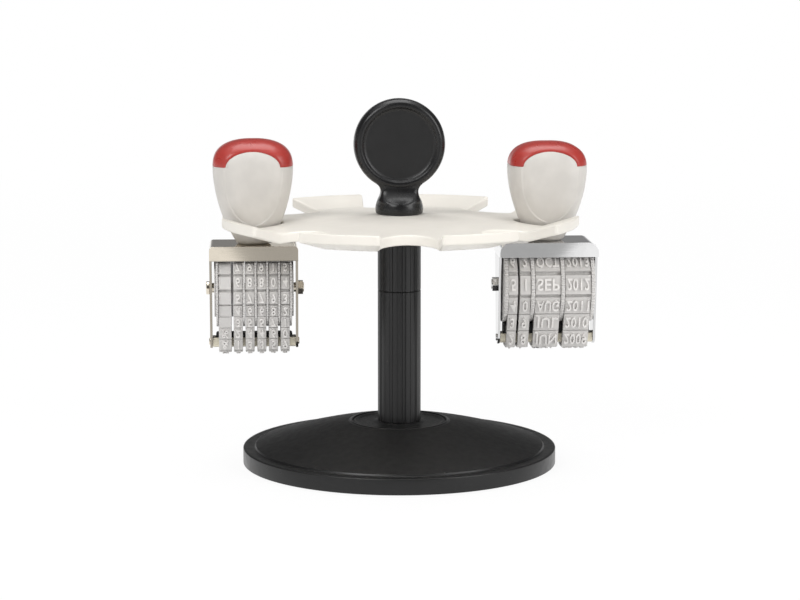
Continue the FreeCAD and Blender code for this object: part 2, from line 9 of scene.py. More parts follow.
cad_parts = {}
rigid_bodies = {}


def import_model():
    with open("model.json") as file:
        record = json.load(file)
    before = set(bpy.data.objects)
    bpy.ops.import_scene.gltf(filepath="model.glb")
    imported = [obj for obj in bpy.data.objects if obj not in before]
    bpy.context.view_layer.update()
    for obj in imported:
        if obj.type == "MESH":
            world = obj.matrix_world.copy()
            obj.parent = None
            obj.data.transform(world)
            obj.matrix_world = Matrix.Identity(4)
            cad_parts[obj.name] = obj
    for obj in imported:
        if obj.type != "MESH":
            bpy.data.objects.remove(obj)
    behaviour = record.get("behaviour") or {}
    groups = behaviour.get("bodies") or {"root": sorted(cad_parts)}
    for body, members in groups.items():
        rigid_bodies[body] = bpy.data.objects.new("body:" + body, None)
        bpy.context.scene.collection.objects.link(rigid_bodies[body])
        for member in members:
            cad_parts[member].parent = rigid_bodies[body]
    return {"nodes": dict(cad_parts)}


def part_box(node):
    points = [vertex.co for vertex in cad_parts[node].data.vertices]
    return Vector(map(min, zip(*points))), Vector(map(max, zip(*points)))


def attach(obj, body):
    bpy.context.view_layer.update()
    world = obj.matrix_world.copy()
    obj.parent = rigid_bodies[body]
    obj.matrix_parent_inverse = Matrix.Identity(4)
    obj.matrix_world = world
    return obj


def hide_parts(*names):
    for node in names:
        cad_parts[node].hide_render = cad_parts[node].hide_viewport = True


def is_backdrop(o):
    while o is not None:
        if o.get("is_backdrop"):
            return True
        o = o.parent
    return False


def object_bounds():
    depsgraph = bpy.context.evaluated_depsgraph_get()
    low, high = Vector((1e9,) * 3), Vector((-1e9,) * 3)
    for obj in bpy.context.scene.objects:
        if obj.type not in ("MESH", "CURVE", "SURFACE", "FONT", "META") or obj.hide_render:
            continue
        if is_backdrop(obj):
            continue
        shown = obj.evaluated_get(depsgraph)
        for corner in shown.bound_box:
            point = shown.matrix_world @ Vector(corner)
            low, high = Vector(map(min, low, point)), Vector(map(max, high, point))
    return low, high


# The desk carousel dressed for the camera. The frame is in metres; mm turns millimetres into them.
mm = 0.001
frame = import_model()
nodes = frame["nodes"]
cadLow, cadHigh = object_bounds()


class Wire:  # a socket; the arithmetic signs on it add Math nodes
    def __init__(self, graph, socket):
        self.graph, self.socket = graph, socket

    def maths(self, operation, *others):
        inputs = dict(enumerate((self, *others)))
        return self.graph.add("ShaderNodeMath", {"operation": operation}, inputs)

    def after(self, operation, first):
        return self.graph.add("ShaderNodeMath", {"operation": operation}, {0: first, 1: self})

    def output(self, name):  # another output of the same node
        return Wire(self.graph, self.socket.node.outputs[name])

    def __add__(self, other): return self.maths("ADD", other)
    def __radd__(self, other): return self.after("ADD", other)
    def __sub__(self, other): return self.maths("SUBTRACT", other)
    def __rsub__(self, other): return self.after("SUBTRACT", other)
    def __mul__(self, other): return self.maths("MULTIPLY", other)
    def __rmul__(self, other): return self.after("MULTIPLY", other)
    def __truediv__(self, other): return self.maths("DIVIDE", other)
    def __rtruediv__(self, other): return self.after("DIVIDE", other)
    def __lt__(self, other): return self.maths("LESS_THAN", other)
    def __gt__(self, other): return self.maths("GREATER_THAN", other)


class Graph:  # a node tree; add makes any node of it
    def __init__(self, tree):
        self.tree = tree

    def add(self, kind, settings=None, inputs=None, output=0):
        node = self.tree.nodes.new(kind)
        for key, value in (settings or {}).items():
            setattr(node, key, value)
        for key, value in (inputs or {}).items():
            self.join(value, node.inputs[key])
        return Wire(self, node.outputs[output])

    def join(self, value, socket):
        if isinstance(value, Wire):
            self.tree.links.new(value.socket, socket)
        else:
            socket.default_value = value

    def spread(self, value, low, high, start=0.0, end=1.0):
        inputs = {0: value, 1: low, 2: high, 3: start, 4: end}
        return self.add("ShaderNodeMapRange", {"interpolation_type": "SMOOTHSTEP"}, inputs)

    def split(self, vector):
        x = self.add("ShaderNodeSeparateXYZ", None, {0: vector})
        return x, x.output("Y"), x.output("Z")


class Finish(Graph):  # one material round a Principled shader
    def __init__(self, name, roughness, metallic=0.0, specular=0.5):
        self.material = bpy.data.materials.new(name)
        self.material.use_nodes = True
        super().__init__(self.material.node_tree)
        self.shader = self.tree.nodes["Principled BSDF"]
        self.place = self.add("ShaderNodeTexCoord", output="Object")
        self.set("Roughness", roughness)
        self.set("Metallic", metallic)
        self.set("Specular IOR Level", specular)

    def set(self, name, value):
        self.join(value, self.shader.inputs[name])

    def noise(self, size, detail, place=None):  # 0 to 1, with features of that size in mm
        inputs = {"Vector": place or self.place, "Scale": 1.0 / (size * mm), "Detail": detail}
        return self.add("ShaderNodeTexNoise", {"noise_dimensions": "3D"}, {**inputs, "Roughness": 0.55})

    def clouds(self, noise, start=0.0, end=1.0):  # the middle of a noise, spread over that range
        return self.spread(noise, 0.3, 0.7, start, end)

    def blend(self, share, first, second):  # two colours
        return self.add("ShaderNodeMix", {"data_type": "RGBA"}, {0: share, 6: first, 7: second}, 2)

    def tint(self, share, colour, low, high):  # the base colour, between two shades of a colour
        self.set("Base Color", self.blend(share, shade(colour, low), shade(colour, high)))

    def stretched(self, x, y, z):  # the place with each axis multiplied
        return self.add("ShaderNodeMapping", None, {"Vector": self.place, "Scale": (x, y, z)})

    def relief(self, height, depth, strength):  # bump of that depth in mm
        inputs = {"Height": height, "Distance": depth * mm, "Strength": strength}
        self.set("Normal", self.add("ShaderNodeBump", None, inputs))


def shade(colour, factor):
    return tuple(channel * factor for channel in colour[:3]) + (1.0,)


# Colours as a maker would give them, linear.
paint = {
    "black": (0.0105, 0.0105, 0.0108, 1.0),
    "knobBlack": (0.010, 0.010, 0.0105, 1.0),
    "ivory": (0.80, 0.765, 0.70, 1.0),
    "grip": (0.60, 0.575, 0.54, 1.0),
    "red": (0.38, 0.037, 0.029, 1.0),
    "nickel": (0.78, 0.71, 0.60, 1.0),
    "chrome": (0.84, 0.84, 0.84, 1.0),
    "bandGrey": (0.74, 0.72, 0.70, 1.0),
    "wheelGrey": (0.62, 0.605, 0.59, 1.0),
    "cream": (0.70, 0.65, 0.52, 1.0),
    "zinc": (0.55, 0.55, 0.53, 1.0),
    "iron": (0.22, 0.22, 0.23, 1.0),
    "nylon": (0.70, 0.70, 0.67, 1.0),
    "rubber": (0.045, 0.045, 0.046, 1.0),
    "dust": (0.6, 0.59, 0.57, 1.0),
    "speck": (0.35, 0.32, 0.28, 1.0),
}


def moulded(name, colour, roughness, grain, grainDepth, dust=0.06):
    # Plastic out of a mould: faint cloudiness, a fine grain and a little dust in it.
    f = Finish(name, roughness)
    cloud = f.noise(14.0, 3.0)
    specks = f.spread(f.noise(0.9, 1.0), 0.72, 0.8)
    body = f.blend(f.clouds(cloud), shade(colour, 0.94), shade(colour, 1.05))
    f.set("Base Color", f.blend(specks * dust, body, paint["dust"]))
    f.set("Roughness", f.spread(f.noise(5.0, 4.0), 0.25, 0.75, roughness * 0.88, roughness * 1.14))
    f.relief(f.noise(grain, 2.0), grainDepth, 0.5)
    return f.material


def basePlastic():
    # The dome is grained; the wall, the shoulder and the rim round the foot are polished.
    f = Finish("basePlastic", 0.5, specular=0.42)
    x, y, _ = f.split(f.place)
    reach = (x * x + y * y).maths("SQRT")
    grained = (reach < base["grainOutR"] * mm) * (reach > base["grainInR"] * mm)
    f.tint(f.clouds(f.noise(22.0, 3.0)), paint["black"], 0.6, 0.8)
    uneven = f.spread(f.noise(3.0, 4.0), 0.25, 0.75, -0.04, 0.05)
    f.set("Roughness", grained * 0.2 + uneven + 0.31)
    f.relief(f.noise(0.45, 2.0) * (grained * 0.9 + 0.1), 0.06, 0.55)
    return f.material


def columnPlastic():
    # Drawn tube: faint streaks along its length.
    f = Finish("columnPlastic", 0.36)
    streak = f.noise(0.8, 3.0, f.stretched(1.0, 1.0, 0.02))
    f.tint(streak, paint["black"], 0.6, 0.95)
    f.set("Roughness", f.clouds(streak, 0.32, 0.44))
    f.relief(streak, 0.02, 0.4)
    return f.material


knob = {"r": 18.75, "centreZ": 132.4, "half": 4.75, "fieldR": 14.3, "fieldHalf": 3.25, "neckR": 7.75,
        "filletR": 4.0, "rodR": 2.45, "rodDeep": 9.8, "sides": 192, "webHalf": 4.2, "webFrom": 4.4,
        "webTo": 11.0, "stemRise": 3.3, "stemIn": 1.2, "chequer": 0.55}
# The bead at the knob's foot and the neck above it: height over the bottom, radius.
beadProfile = ((0.0, 9.3), (0.12, 9.5), (0.4, 9.66), (0.9, 9.78), (1.4, 9.83), (2.0, 9.85), (2.7, 9.79),
               (3.5, 9.66), (4.4, 9.42), (5.0, 9.18), (5.7, 8.84), (6.4, 8.45), (7.1, 8.13), (7.9, 7.9),
               (8.7, 7.78), (9.4, 7.75))


def knobPlastic():
    # Glossy, with handling marks; the sunk field is finely chequered.
    f = Finish("knobPlastic", 0.25, specular=0.4)
    x, _, z = f.split(f.place)
    up = z - knob["centreZ"] * mm
    square = x * x + up * up
    field = square < (knob["fieldR"] * mm) ** 2
    rub = f.noise(7.0, 5.0)
    f.tint(rub, paint["knobBlack"], 0.8, 1.3)
    f.set("Roughness", field * 0.2 + f.clouds(rub, 0.19, 0.3))
    turn = 2 * math.pi / (knob["chequer"] * mm)
    weave = (x * turn).maths("SINE") * (up * turn).maths("SINE")
    f.relief(field * (weave * 0.5) + f.noise(0.5, 2.0) * 0.25, 0.05, 0.5)
    return f.material


def ivoryPlastic():
    f = Finish("ivoryPlastic", 0.34)
    cloud = f.clouds(f.noise(26.0, 3.0))
    smear = f.noise(6.0, 5.0)
    body = f.blend(cloud, shade(paint["ivory"], 0.975), shade(paint["ivory"], 1.02))
    specks = f.spread(f.noise(0.8, 1.0), 0.74, 0.8)
    f.set("Base Color", f.blend(specks * 0.12, body, paint["speck"]))
    f.set("Roughness", f.clouds(smear, 0.3, 0.42))
    f.relief(f.noise(0.6, 2.0), 0.015, 0.4)
    return f.material


flangeZ = 86.3  # where the frames' legs begin


def plated(name, colour, roughness, grain, legShade=1.0):
    # Plated pressed sheet: fine lines from polishing and a few dull patches; the legs get a painted
    # shade for their darker reflections.
    f = Finish(name, roughness, 1.0)
    lines = f.noise(grain, 3.0, f.stretched(0.04, 1.0, 1.0))
    dull = f.noise(8.0, 4.0)
    up = f.split(f.place)[2]
    # painted shade: below the flange the sheet is darkened to a darker copy of its colour
    legShadeMask = f.spread(up, (flangeZ - 0.3) * mm, (flangeZ + 0.3) * mm, 1.0, 0.0)
    sheet = f.blend(f.spread(dull, 0.35, 0.75), colour, shade(colour, 0.93))
    f.set("Base Color", f.blend(legShadeMask, sheet, shade(colour, legShade)))
    f.set("Roughness", f.spread(dull, 0.3, 0.8, roughness * 0.8, roughness * 1.3))
    f.relief(lines, 0.005, 0.35)
    return f.material


def typeRubber():
    # Moulded rubber: mottled, with random stains; a painted shade level makes type and pad tops lighter
    # as if lit, their sides and the band between them darker as if in shade.
    f = Finish("typeRubber", 0.62)
    mottle = f.noise(1.1, 4.0)
    stain = f.noise(4.5, 3.0)
    grey = paint["bandGrey"]
    raised = f.add("ShaderNodeAttribute", {"attribute_name": "raised"}, output="Fac")
    # painted shade on the sides and in the hollows, painted light on the tops, from the per-point level
    shadedGround = f.blend(raised, shade(grey, 0.6), shade(grey, 1.12))
    body = f.blend(f.clouds(mottle) * 0.5, shadedGround, shade(grey, 0.86))
    f.set("Base Color", f.blend(f.spread(stain, 0.55, 0.8) * 0.3, body, shade(grey, 0.72)))
    f.set("Roughness", f.clouds(mottle, 0.55, 0.7))
    f.relief(f.noise(0.35, 3.0), 0.03, 0.6)
    return f.material


def castMetal(name, colour, roughness, size):
    f = Finish(name, roughness, 0.9)
    skin = f.noise(size, 4.0)
    f.tint(skin, colour, 0.75, 1.15)
    f.set("Roughness", f.clouds(skin, roughness * 0.8, roughness * 1.2))
    f.relief(skin, 0.05, 0.5)
    return f.material


def linked(name, data):  # a new object in the scene
    stand = bpy.data.objects.new(name, data)
    bpy.context.scene.collection.objects.link(stand)
    return stand


def coated(piece, material):
    piece.data.materials.clear()
    piece.data.materials.append(material)


def pieceOf(name, mesh, material, body, node):
    # A new piece on a body, standing for the node it replaces.
    piece = linked(name, mesh)
    coated(piece, material)
    for face in mesh.polygons:
        face.material_index = 0
    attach(piece, body)
    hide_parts(node)


def smooth(mesh, degrees):
    for face in mesh.polygons:
        face.use_smooth = True
    mesh.set_sharp_from_angle(angle=math.radians(degrees))
    return mesh


def meshed(name, form):  # ends the bmesh
    mesh = bpy.data.meshes.new(name)
    form.to_mesh(mesh)
    form.free()
    return mesh


def welded(mesh):
    form = bmesh.new()
    form.from_mesh(mesh)
    bmesh.ops.remove_doubles(form, verts=form.verts, dist=1e-6)
    return form


def meshOf(name, form, degrees, place=None):
    # The finished form as a mesh with its faces outwards, smooth up to that angle.
    bmesh.ops.recalc_face_normals(form, faces=form.faces)
    mesh = meshed(name, form)
    if place:
        mesh.transform(place)
    return smooth(mesh, degrees)


def evaluated(stand):
    # The plain mesh of an object with its modifiers; the object goes.
    bpy.context.view_layer.update()
    view = bpy.context.evaluated_depsgraph_get()
    made = bpy.data.meshes.new_from_object(stand.evaluated_get(view), depsgraph=view)
    bpy.data.objects.remove(stand)
    return made


def settled(mesh, modifiers):
    # The mesh with those modifiers worked into it.
    stand = linked("settling", mesh)
    for kind, settings in modifiers:
        modifier = stand.modifiers.new(kind, kind)
        for key, value in settings.items():
            setattr(modifier, key, value)
    return evaluated(stand)


def anglesOf(count):
    return [2 * math.pi * k / count for k in range(count)]


def ringOf(form, points):
    return [form.verts.new(Vector(point) * mm) for point in points]


def skinned(form, loops):
    # Quads between neighbouring rings, as one list for each pair of rings.
    made = []
    for low, high in zip(loops, loops[1:]):
        turns = [(k, (k + 1) % len(low)) for k in range(len(low))]
        made.append([form.faces.new((low[k], low[n], high[n], high[k])) for k, n in turns])
    return made


def softened(corners, radius, steps=4):
    # The closed outline with an arc at each corner; a radius may be one number or one for each corner.
    radii = radius if isinstance(radius, (list, tuple)) else [radius] * len(corners)
    made = []
    for i, corner in enumerate(corners):
        here = Vector(corner)
        back = Vector(corners[i - 1]) - here
        ahead = Vector(corners[(i + 1) % len(corners)]) - here
        turn = back.angle(ahead)
        if radii[i] <= 0 or turn > math.radians(177):
            made.append(here)
            continue
        reach = min(radii[i] / math.tan(turn / 2), back.length * 0.48, ahead.length * 0.48)
        middle = (back.normalized() + ahead.normalized()).normalized() * (reach / math.cos(turn / 2))
        first = back.normalized() * reach - middle
        last = ahead.normalized() * reach - middle
        sweep = first.angle_signed(last)
        for k in range(steps + 1):
            made.append(here + middle + Matrix.Rotation(-sweep * k / steps, 2) @ first)
    return made


def lathe(name, outline, sides, place=None):
    # The closed (radius, height) outline turned about Z; corners at radius 0 become poles.
    form = bmesh.new()
    rings = []
    for r, z in outline:
        turns = anglesOf(sides)[:1 if r < 1e-9 else sides]
        spots = [(r * math.cos(t) * mm, r * math.sin(t) * mm, z * mm) for t in turns]
        rings.append([form.verts.new(spot) for spot in spots])
    for low, high in zip(rings, rings[1:] + rings[:1]):
        for k in range(sides):
            n = (k + 1) % sides
            if len(low) == 1 and len(high) == 1:
                break
            corners = [low[0]] if len(low) == 1 else [low[k], low[n]]
            corners += [high[0]] if len(high) == 1 else [high[n], high[k]]
            form.faces.new(corners)
    return meshOf(name, form, 30.0, place)


def turned(name, corners, sides, place=None, steps=4):
    # A lathe's shape from corners of radius, height and rounding.
    outline = softened([corner[:2] for corner in corners], [corner[2] for corner in corners], steps)
    return lathe(name, outline, sides, place)


def lofted(name, rings, degrees):
    # A closed skin through rings of equally many points.
    form = bmesh.new()
    loops = [ringOf(form, ring) for ring in rings]
    skinned(form, loops)
    form.faces.new(loops[0][::-1])
    form.faces.new(loops[-1])
    return meshOf(name, form, degrees)


def refined(node, width, degrees=28.0, segments=2):
    # A copy of a CAD node's mesh with its edges broken.
    form = welded(nodes[node].data)
    bmesh.ops.dissolve_limit(form, angle_limit=math.radians(0.5), verts=form.verts, edges=form.edges)
    mesh = meshed(node + "Refined", form)
    bevel = {"width": width * mm, "segments": segments, "limit_method": "ANGLE"}
    bevel.update({"angle_limit": math.radians(degrees), "miter_outer": "MITER_ARC"})
    weight = {"weight": 100, "keep_sharp": True}
    return settled(smooth(mesh, 60.0), [("BEVEL", bevel), ("WEIGHTED_NORMAL", weight)])


def newTree(name, inputs):
    # A Geometry Nodes tree with those named inputs, and what gives each of them.
    tree = bpy.data.node_groups.new(name, "GeometryNodeTree")
    tree.interface.new_socket("Geometry", in_out="OUTPUT", socket_type="NodeSocketGeometry")
    for title, kind in inputs.items():
        tree.interface.new_socket(title, in_out="INPUT", socket_type="NodeSocket" + kind)
    graph = Graph(tree)
    return graph, graph.add("NodeGroupInput").output


def closedTree(g, geometry, material):  # its end: real geometry in that material
    real = g.add("GeometryNodeRealizeInstances", None, {"Geometry": geometry})
    real = g.add("GeometryNodeSetMaterial", None, {"Geometry": real, "Material": material})
    g.join(real, g.tree.nodes.new("NodeGroupOutput").inputs[0])
    return g.tree


def groovedBarTree():
    # A bar along Z with a bore and broken ends, and grooves and fine lines along its outside.
    sizes = ("Radius", "Bore", "Length", "Edge", "Grooves", "Groove Width", "Groove Depth")
    sizes += ("Lines", "Line Width", "Line Depth")
    inputs = {**dict.fromkeys(sizes, "Float"), "Points": "Int", "Material": "Material"}
    g, given = newTree("groovedBar", inputs)
    radius, length, edge = given("Radius"), given("Length"), given("Edge")
    inputs = {"Resolution": given("Points"), "Radius": radius}
    circle = g.add("GeometryNodeCurvePrimitiveCircle", None, inputs)
    place = g.add("GeometryNodeInputPosition")
    x, y, _ = g.split(place)
    around = y.maths("ARCTAN2", x)

    def groove(kind, phase):  # how far the outside is sunk there
        count, width, depth = given(kind + "s"), given(kind + " Width"), given(kind + " Depth")
        part = around * count / (2 * math.pi) + phase
        off = (part - part.maths("ROUND")).maths("ABSOLUTE") * (2 * math.pi * radius / count)
        return g.spread(off, width * 0.2, width * 0.5, depth, 0.0)

    sunk = groove("Groove", 10.25) + groove("Line", 10.75)
    inputs = {0: place, "Scale": (radius - sunk) / radius}
    where = g.add("ShaderNodeVectorMath", {"operation": "SCALE"}, inputs)
    outline = g.add("GeometryNodeSetPosition", None, {"Geometry": circle, "Position": where})
    small = (radius - edge) / radius
    end = g.add("GeometryNodeFillCurve", {"mode": "NGONS"}, {"Curve": outline})
    shrink = g.add("ShaderNodeCombineXYZ", None, {0: small, 1: small, 2: 1.0})
    end = g.add("GeometryNodeTransform", None, {"Geometry": end, "Scale": shrink})
    top, last = end, True
    for height, scale in ((edge, 1.0 / small), (length - edge * 2.0, None), (edge, small)):
        offset = g.add("ShaderNodeCombineXYZ", None, {2: height})
        inputs = {"Mesh": top, "Selection": last, "Offset": offset, "Individual": False}
        top = g.add("GeometryNodeExtrudeMesh", None, inputs)
        last = top.output("Top")
        if scale is not None:
            inputs = {"Geometry": top, "Selection": last, "Scale": scale}
            top = g.add("GeometryNodeScaleElements", None, inputs)
    solid = g.add("GeometryNodeJoinGeometry")
    for half in (g.add("GeometryNodeFlipFaces", None, {"Mesh": end}), top):
        g.join(half, solid.socket.node.inputs[0])
    solid = g.add("GeometryNodeMergeByDistance", None, {"Geometry": solid, "Distance": 0.001 * mm})
    inputs = {"Vertices": 96, "Radius": given("Bore"), "Depth": length * 3.0}
    drill = g.add("GeometryNodeMeshCylinder", None, inputs)
    settings = {"operation": "DIFFERENCE", "solver": "EXACT"}
    cut = g.add("GeometryNodeMeshBoolean", settings, {"Mesh 1": solid, "Mesh 2": drill})
    return closedTree(g, cut, given("Material"))


def fromTree(tree, values, mesh=None):
    # The plain mesh that a tree gives for those inputs.
    stand = linked("fromTree", mesh or bpy.data.meshes.new("empty"))
    modifier = stand.modifiers.new("tree", "NODES")
    modifier.node_group = tree
    for socket in tree.interface.items_tree:
        if socket.in_out == "INPUT" and socket.name in values:
            modifier[socket.identifier] = values[socket.name]
    return evaluated(stand)


blackColumn = columnPlastic()
greyGrip = moulded("greyGrip", paint["grip"], 0.42, 0.3, 0.015)
redCap = moulded("redCap", paint["red"], 0.3, 0.3, 0.01, dust=0.03)
wheelPlastic = moulded("wheelPlastic", paint["wheelGrey"], 0.5, 0.3, 0.02)
creamPlastic = moulded("creamPlastic", paint["cream"], 0.45, 0.4, 0.03)
barPlastic = moulded("barPlastic", paint["black"], 0.5, 0.4, 0.03)
coverPlastic = moulded("coverPlastic", paint["black"], 0.6, 0.6, 0.05)
padRubber = moulded("padRubber", paint["rubber"], 0.8, 0.5, 0.08)
nylonPlastic = moulded("nylonPlastic", paint["nylon"], 0.5, 0.5, 0.03)
nickelSheet = plated("nickelSheet", paint["nickel"], 0.07, 0.35, 0.46)
chromeSheet = plated("chromeSheet", paint["chrome"], 0.05, 0.35, 0.8)
chromePin = plated("chromePin", paint["chrome"], 0.12, 0.2, 0.9)
nickelPin = plated("nickelPin", paint["nickel"], 0.2, 0.2)
zincSteel = castMetal("zincSteel", paint["zinc"], 0.4, 0.8)
castIron = castMetal("castIron", paint["iron"], 0.7, 1.5)
bandRubber = typeRubber()
print("finishes made")


base = {"sides": 240, "wallTop": 6.8, "shoulderR": 60.0, "step": 0.7, "bulge": 0.8, "domeTop": 17.6,
        "rimW": 0.7, "wallT": 2.4, "footR": 19.3, "footT": 2.3, "dish": 0.4, "stubR": 7.0, "seat": 0.05,
        "stubDeep": 6.4, "play": 0.2, "spigotR": 6.35, "boreR": 2.6, "grainOutR": 59.6, "grainInR": 21.2}


def baseBody():
    low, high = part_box("base_shell")
    outR, floor = high.x / mm, low.z / mm
    b = Sizes(**base)
    inR = b.footR + b.play
    foot, rimR = b.wallTop + b.step, inR + b.rimW

    def domeAt(share):
        r = b.shoulderR - 0.5 + (rimR - b.shoulderR + 0.5) * share
        return r, foot + (b.domeTop - 0.25 - foot) * share + 4 * b.bulge * share * (1 - share)

    # Corners as (radius, height, rounding): wall and shoulder, dome, rim round the foot, underside.
    corners = [(outR, floor, 0.15), (outR, b.wallTop - 0.1, 0.45), (outR - 1.1, b.wallTop, 0.4)]
    corners += [(b.shoulderR + 0.4, b.wallTop - 0.15, 0.2), (b.shoulderR + 0.1, b.wallTop + 0.15, 0.2)]
    corners += [(b.shoulderR - 0.2, foot, 0.25)] + [(*domeAt(k / 24), 0) for k in range(1, 24)]
    corners += [(rimR + 0.15, b.domeTop - 0.25, 0.15), (rimR - 0.05, b.domeTop, 0.2)]
    corners += [(inR, b.domeTop, 0.15)]
    recess, stubR, inWall = b.domeTop - b.play - b.footT, b.stubR + b.seat, outR - b.wallT
    stubZ = recess - b.stubDeep
    under = [(inR, recess), (stubR, recess), (stubR, stubZ), (b.stubR + 3, stubZ)]
    under += [(b.stubR + 3, recess - b.wallT), (inR, recess - b.wallT)]
    under += [(b.shoulderR - b.wallT, b.wallTop - b.wallT), (inWall, b.wallTop - b.wallT)]
    corners += [(r, z, 0.2) for r, z in (*under, (inWall, floor))]
    pieceOf("baseBody", turned("baseBody", corners, b.sides), basePlastic(), "stand", "base_shell")


def dishedFoot():
    # The glossy disc in the dome's recess that the column stands on.
    low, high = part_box("column_foot")
    bottom, top, level = low.z / mm, high.z / mm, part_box("column")[0].z / mm
    b = Sizes(**base)
    discZ = level - b.footT
    corners = [(b.boreR, bottom, 0), (b.stubR, bottom, 0), (b.stubR, discZ, 0), (b.footR, discZ, 0.2)]
    corners += [(b.footR, level - 0.1, 0.4), (b.footR - 1.1, level - 0.1, 0.5)]
    corners += [(b.footR - 2.2, level - b.dish - 0.25, 0.8), (10.8, level - b.dish - 0.1, 0.6)]
    corners += [(9.6, level - 0.05, 0.6), (8.6, level, 0), (b.spigotR, level, 0)]
    corners += [(b.spigotR, top, 0.3), (b.boreR, top, 0.2)]
    pieceOf("dishedFoot", turned("dishedFoot", corners, 160), blackColumn, "stand", "column_foot")


column = {"points": 1440, "edge": 0.18, "flutes": 10, "fluteW": 2.1, "fluteD": 0.6, "lineW": 0.45,
          "lineD": 0.18, "bore": 6.4, "hubBore": 5.55, "neckR": 7.4, "neckDeep": 1.6, "hubTopR": 12}


def flutedTube(node, bore, cutAt=None):
    low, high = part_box(node)
    c = Sizes(**column)
    values = {"Radius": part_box("column")[1].y, "Bore": bore * mm, "Length": (cutAt or high.z) - low.z,
              "Edge": c.edge * mm, "Points": c.points, "Material": blackColumn,
              "Grooves": float(c.flutes), "Groove Width": c.fluteW * mm, "Groove Depth": c.fluteD * mm,
              "Lines": float(c.flutes), "Line Width": c.lineW * mm, "Line Depth": c.lineD * mm}
    mesh = fromTree(groovedBar, values)
    mesh.transform(Matrix.Translation((0, 0, low.z)))
    return smooth(mesh, 25.0)


def hubNeck():
    # The plain neck of the hub, up in the plate's bore.
    c, high = Sizes(**column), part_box("carousel_hub")[1].z / mm
    start = plate["apexZ"] - plate["thick"] - c.neckDeep
    corners = [(c.hubBore, start), (c.neckR, start), (c.neckR, high), (c.hubBore, high)]
    return lathe("hubNeck", softened(corners, 0.15), 96)


def joined(name, meshes, degrees=30.0):  # several meshes as one
    form = bmesh.new()
    for mesh in meshes:
        form.from_mesh(mesh)
    return smooth(meshed(name, form), degrees)


plate = {"r": 73.92, "thick": 4.1, "apexZ": 104.5, "foldR": 59.2, "foldZ": 99.8, "lipZ": 104.0,
         "foldSoft": 0.9, "slots": 8, "slotW": 23.5, "slotInR": 47.6, "cornerR": 1.6, "edge": 0.75,
         "boreR": 7.5, "step": 0.9, "spacing": 3.2, "clear": 0.7}
# Rings of points across the plate, close together round the fold.
plateRings = (10, 14, 19, 24.5, 30, 35.5, 41, 46, 51, 55, 57.4, 58.3, 58.8, 59.2, 59.6, 60.1, 61, 64, 69)


def plateTop(r):
    p = Sizes(**plate)
    inner = (p.apexZ - p.foldZ) / p.foldR
    outer = (p.lipZ - p.foldZ) / (p.r - p.foldR)
    off = r - p.foldR
    if abs(off) < p.foldSoft:  # a parabola where the two slopes meet
        s = p.foldSoft
        return p.foldZ + (off + s) ** 2 * (outer + inner) / (4 * s) - off * inner
    return p.foldZ + (outer * off if off > 0 else -inner * off)


def plateOutline():
    # One slot and one lip, repeated round the plate; the corners at each slot's mouth are rounded.
    p = Sizes(**plate)
    half = p.slotW / 2
    middleR = p.slotInR + half
    mouth = math.sqrt(p.r ** 2 - half ** 2)
    start = math.atan2(half, mouth)
    lip = 2 * math.pi / p.slots - 2 * start
    made, radii = [], []
    for k in range(p.slots):
        slot = [(mouth, -half), (middleR, -half)]
        bend = [math.pi * i / 40 for i in range(1, 40)]
        slot += [(middleR - half * math.sin(t), -half * math.cos(t)) for t in bend]
        slot += [(middleR, half), (mouth, half)]
        rim = [start + lip * i / 36 for i in range(1, 36)]
        slot += [(p.r * math.cos(t), p.r * math.sin(t)) for t in rim]
        turn = Matrix.Rotation(2 * math.pi * k / p.slots, 2)
        made += [turn @ Vector(point) for point in slot]
        radii += [p.cornerR] + [0] * 41 + [p.cornerR] + [0] * 35
    return rounded(made, radii)


def rounded(points, radii):
    # Rounds the marked corners of a finely divided outline, taking points away near each of them.
    keep = []
    marked = [i for i, radius in enumerate(radii) if radius > 0]
    for i, point in enumerate(points):
        if all(i == m or (points[m] - point).length >= radii[m] * 1.6 for m in marked):
            keep.append((point, radii[i]))
    return softened([point for point, r in keep], [r for point, r in keep], 6)


def inset(outline, distance):
    # The outline moved towards the material on its left.
    made = []
    for i, here in enumerate(outline):
        a = (here - outline[i - 1]).normalized()
        b = (outline[(i + 1) % len(outline)] - here).normalized()
        normal = Vector((-a.y - b.y, a.x + b.x)).normalized()
        stretch = max(0.5, normal.dot(Vector((-a.y, a.x))))
        made.append(here + normal * (distance / stretch))
    return made


def divided(outline, step):  # more points, about a step apart
    made = []
    for i, here in enumerate(outline):
        ahead = outline[(i + 1) % len(outline)]
        pieces = max(1, round((ahead - here).length / step))
        made += [here.lerp(ahead, k / pieces) for k in range(pieces)]
    return made


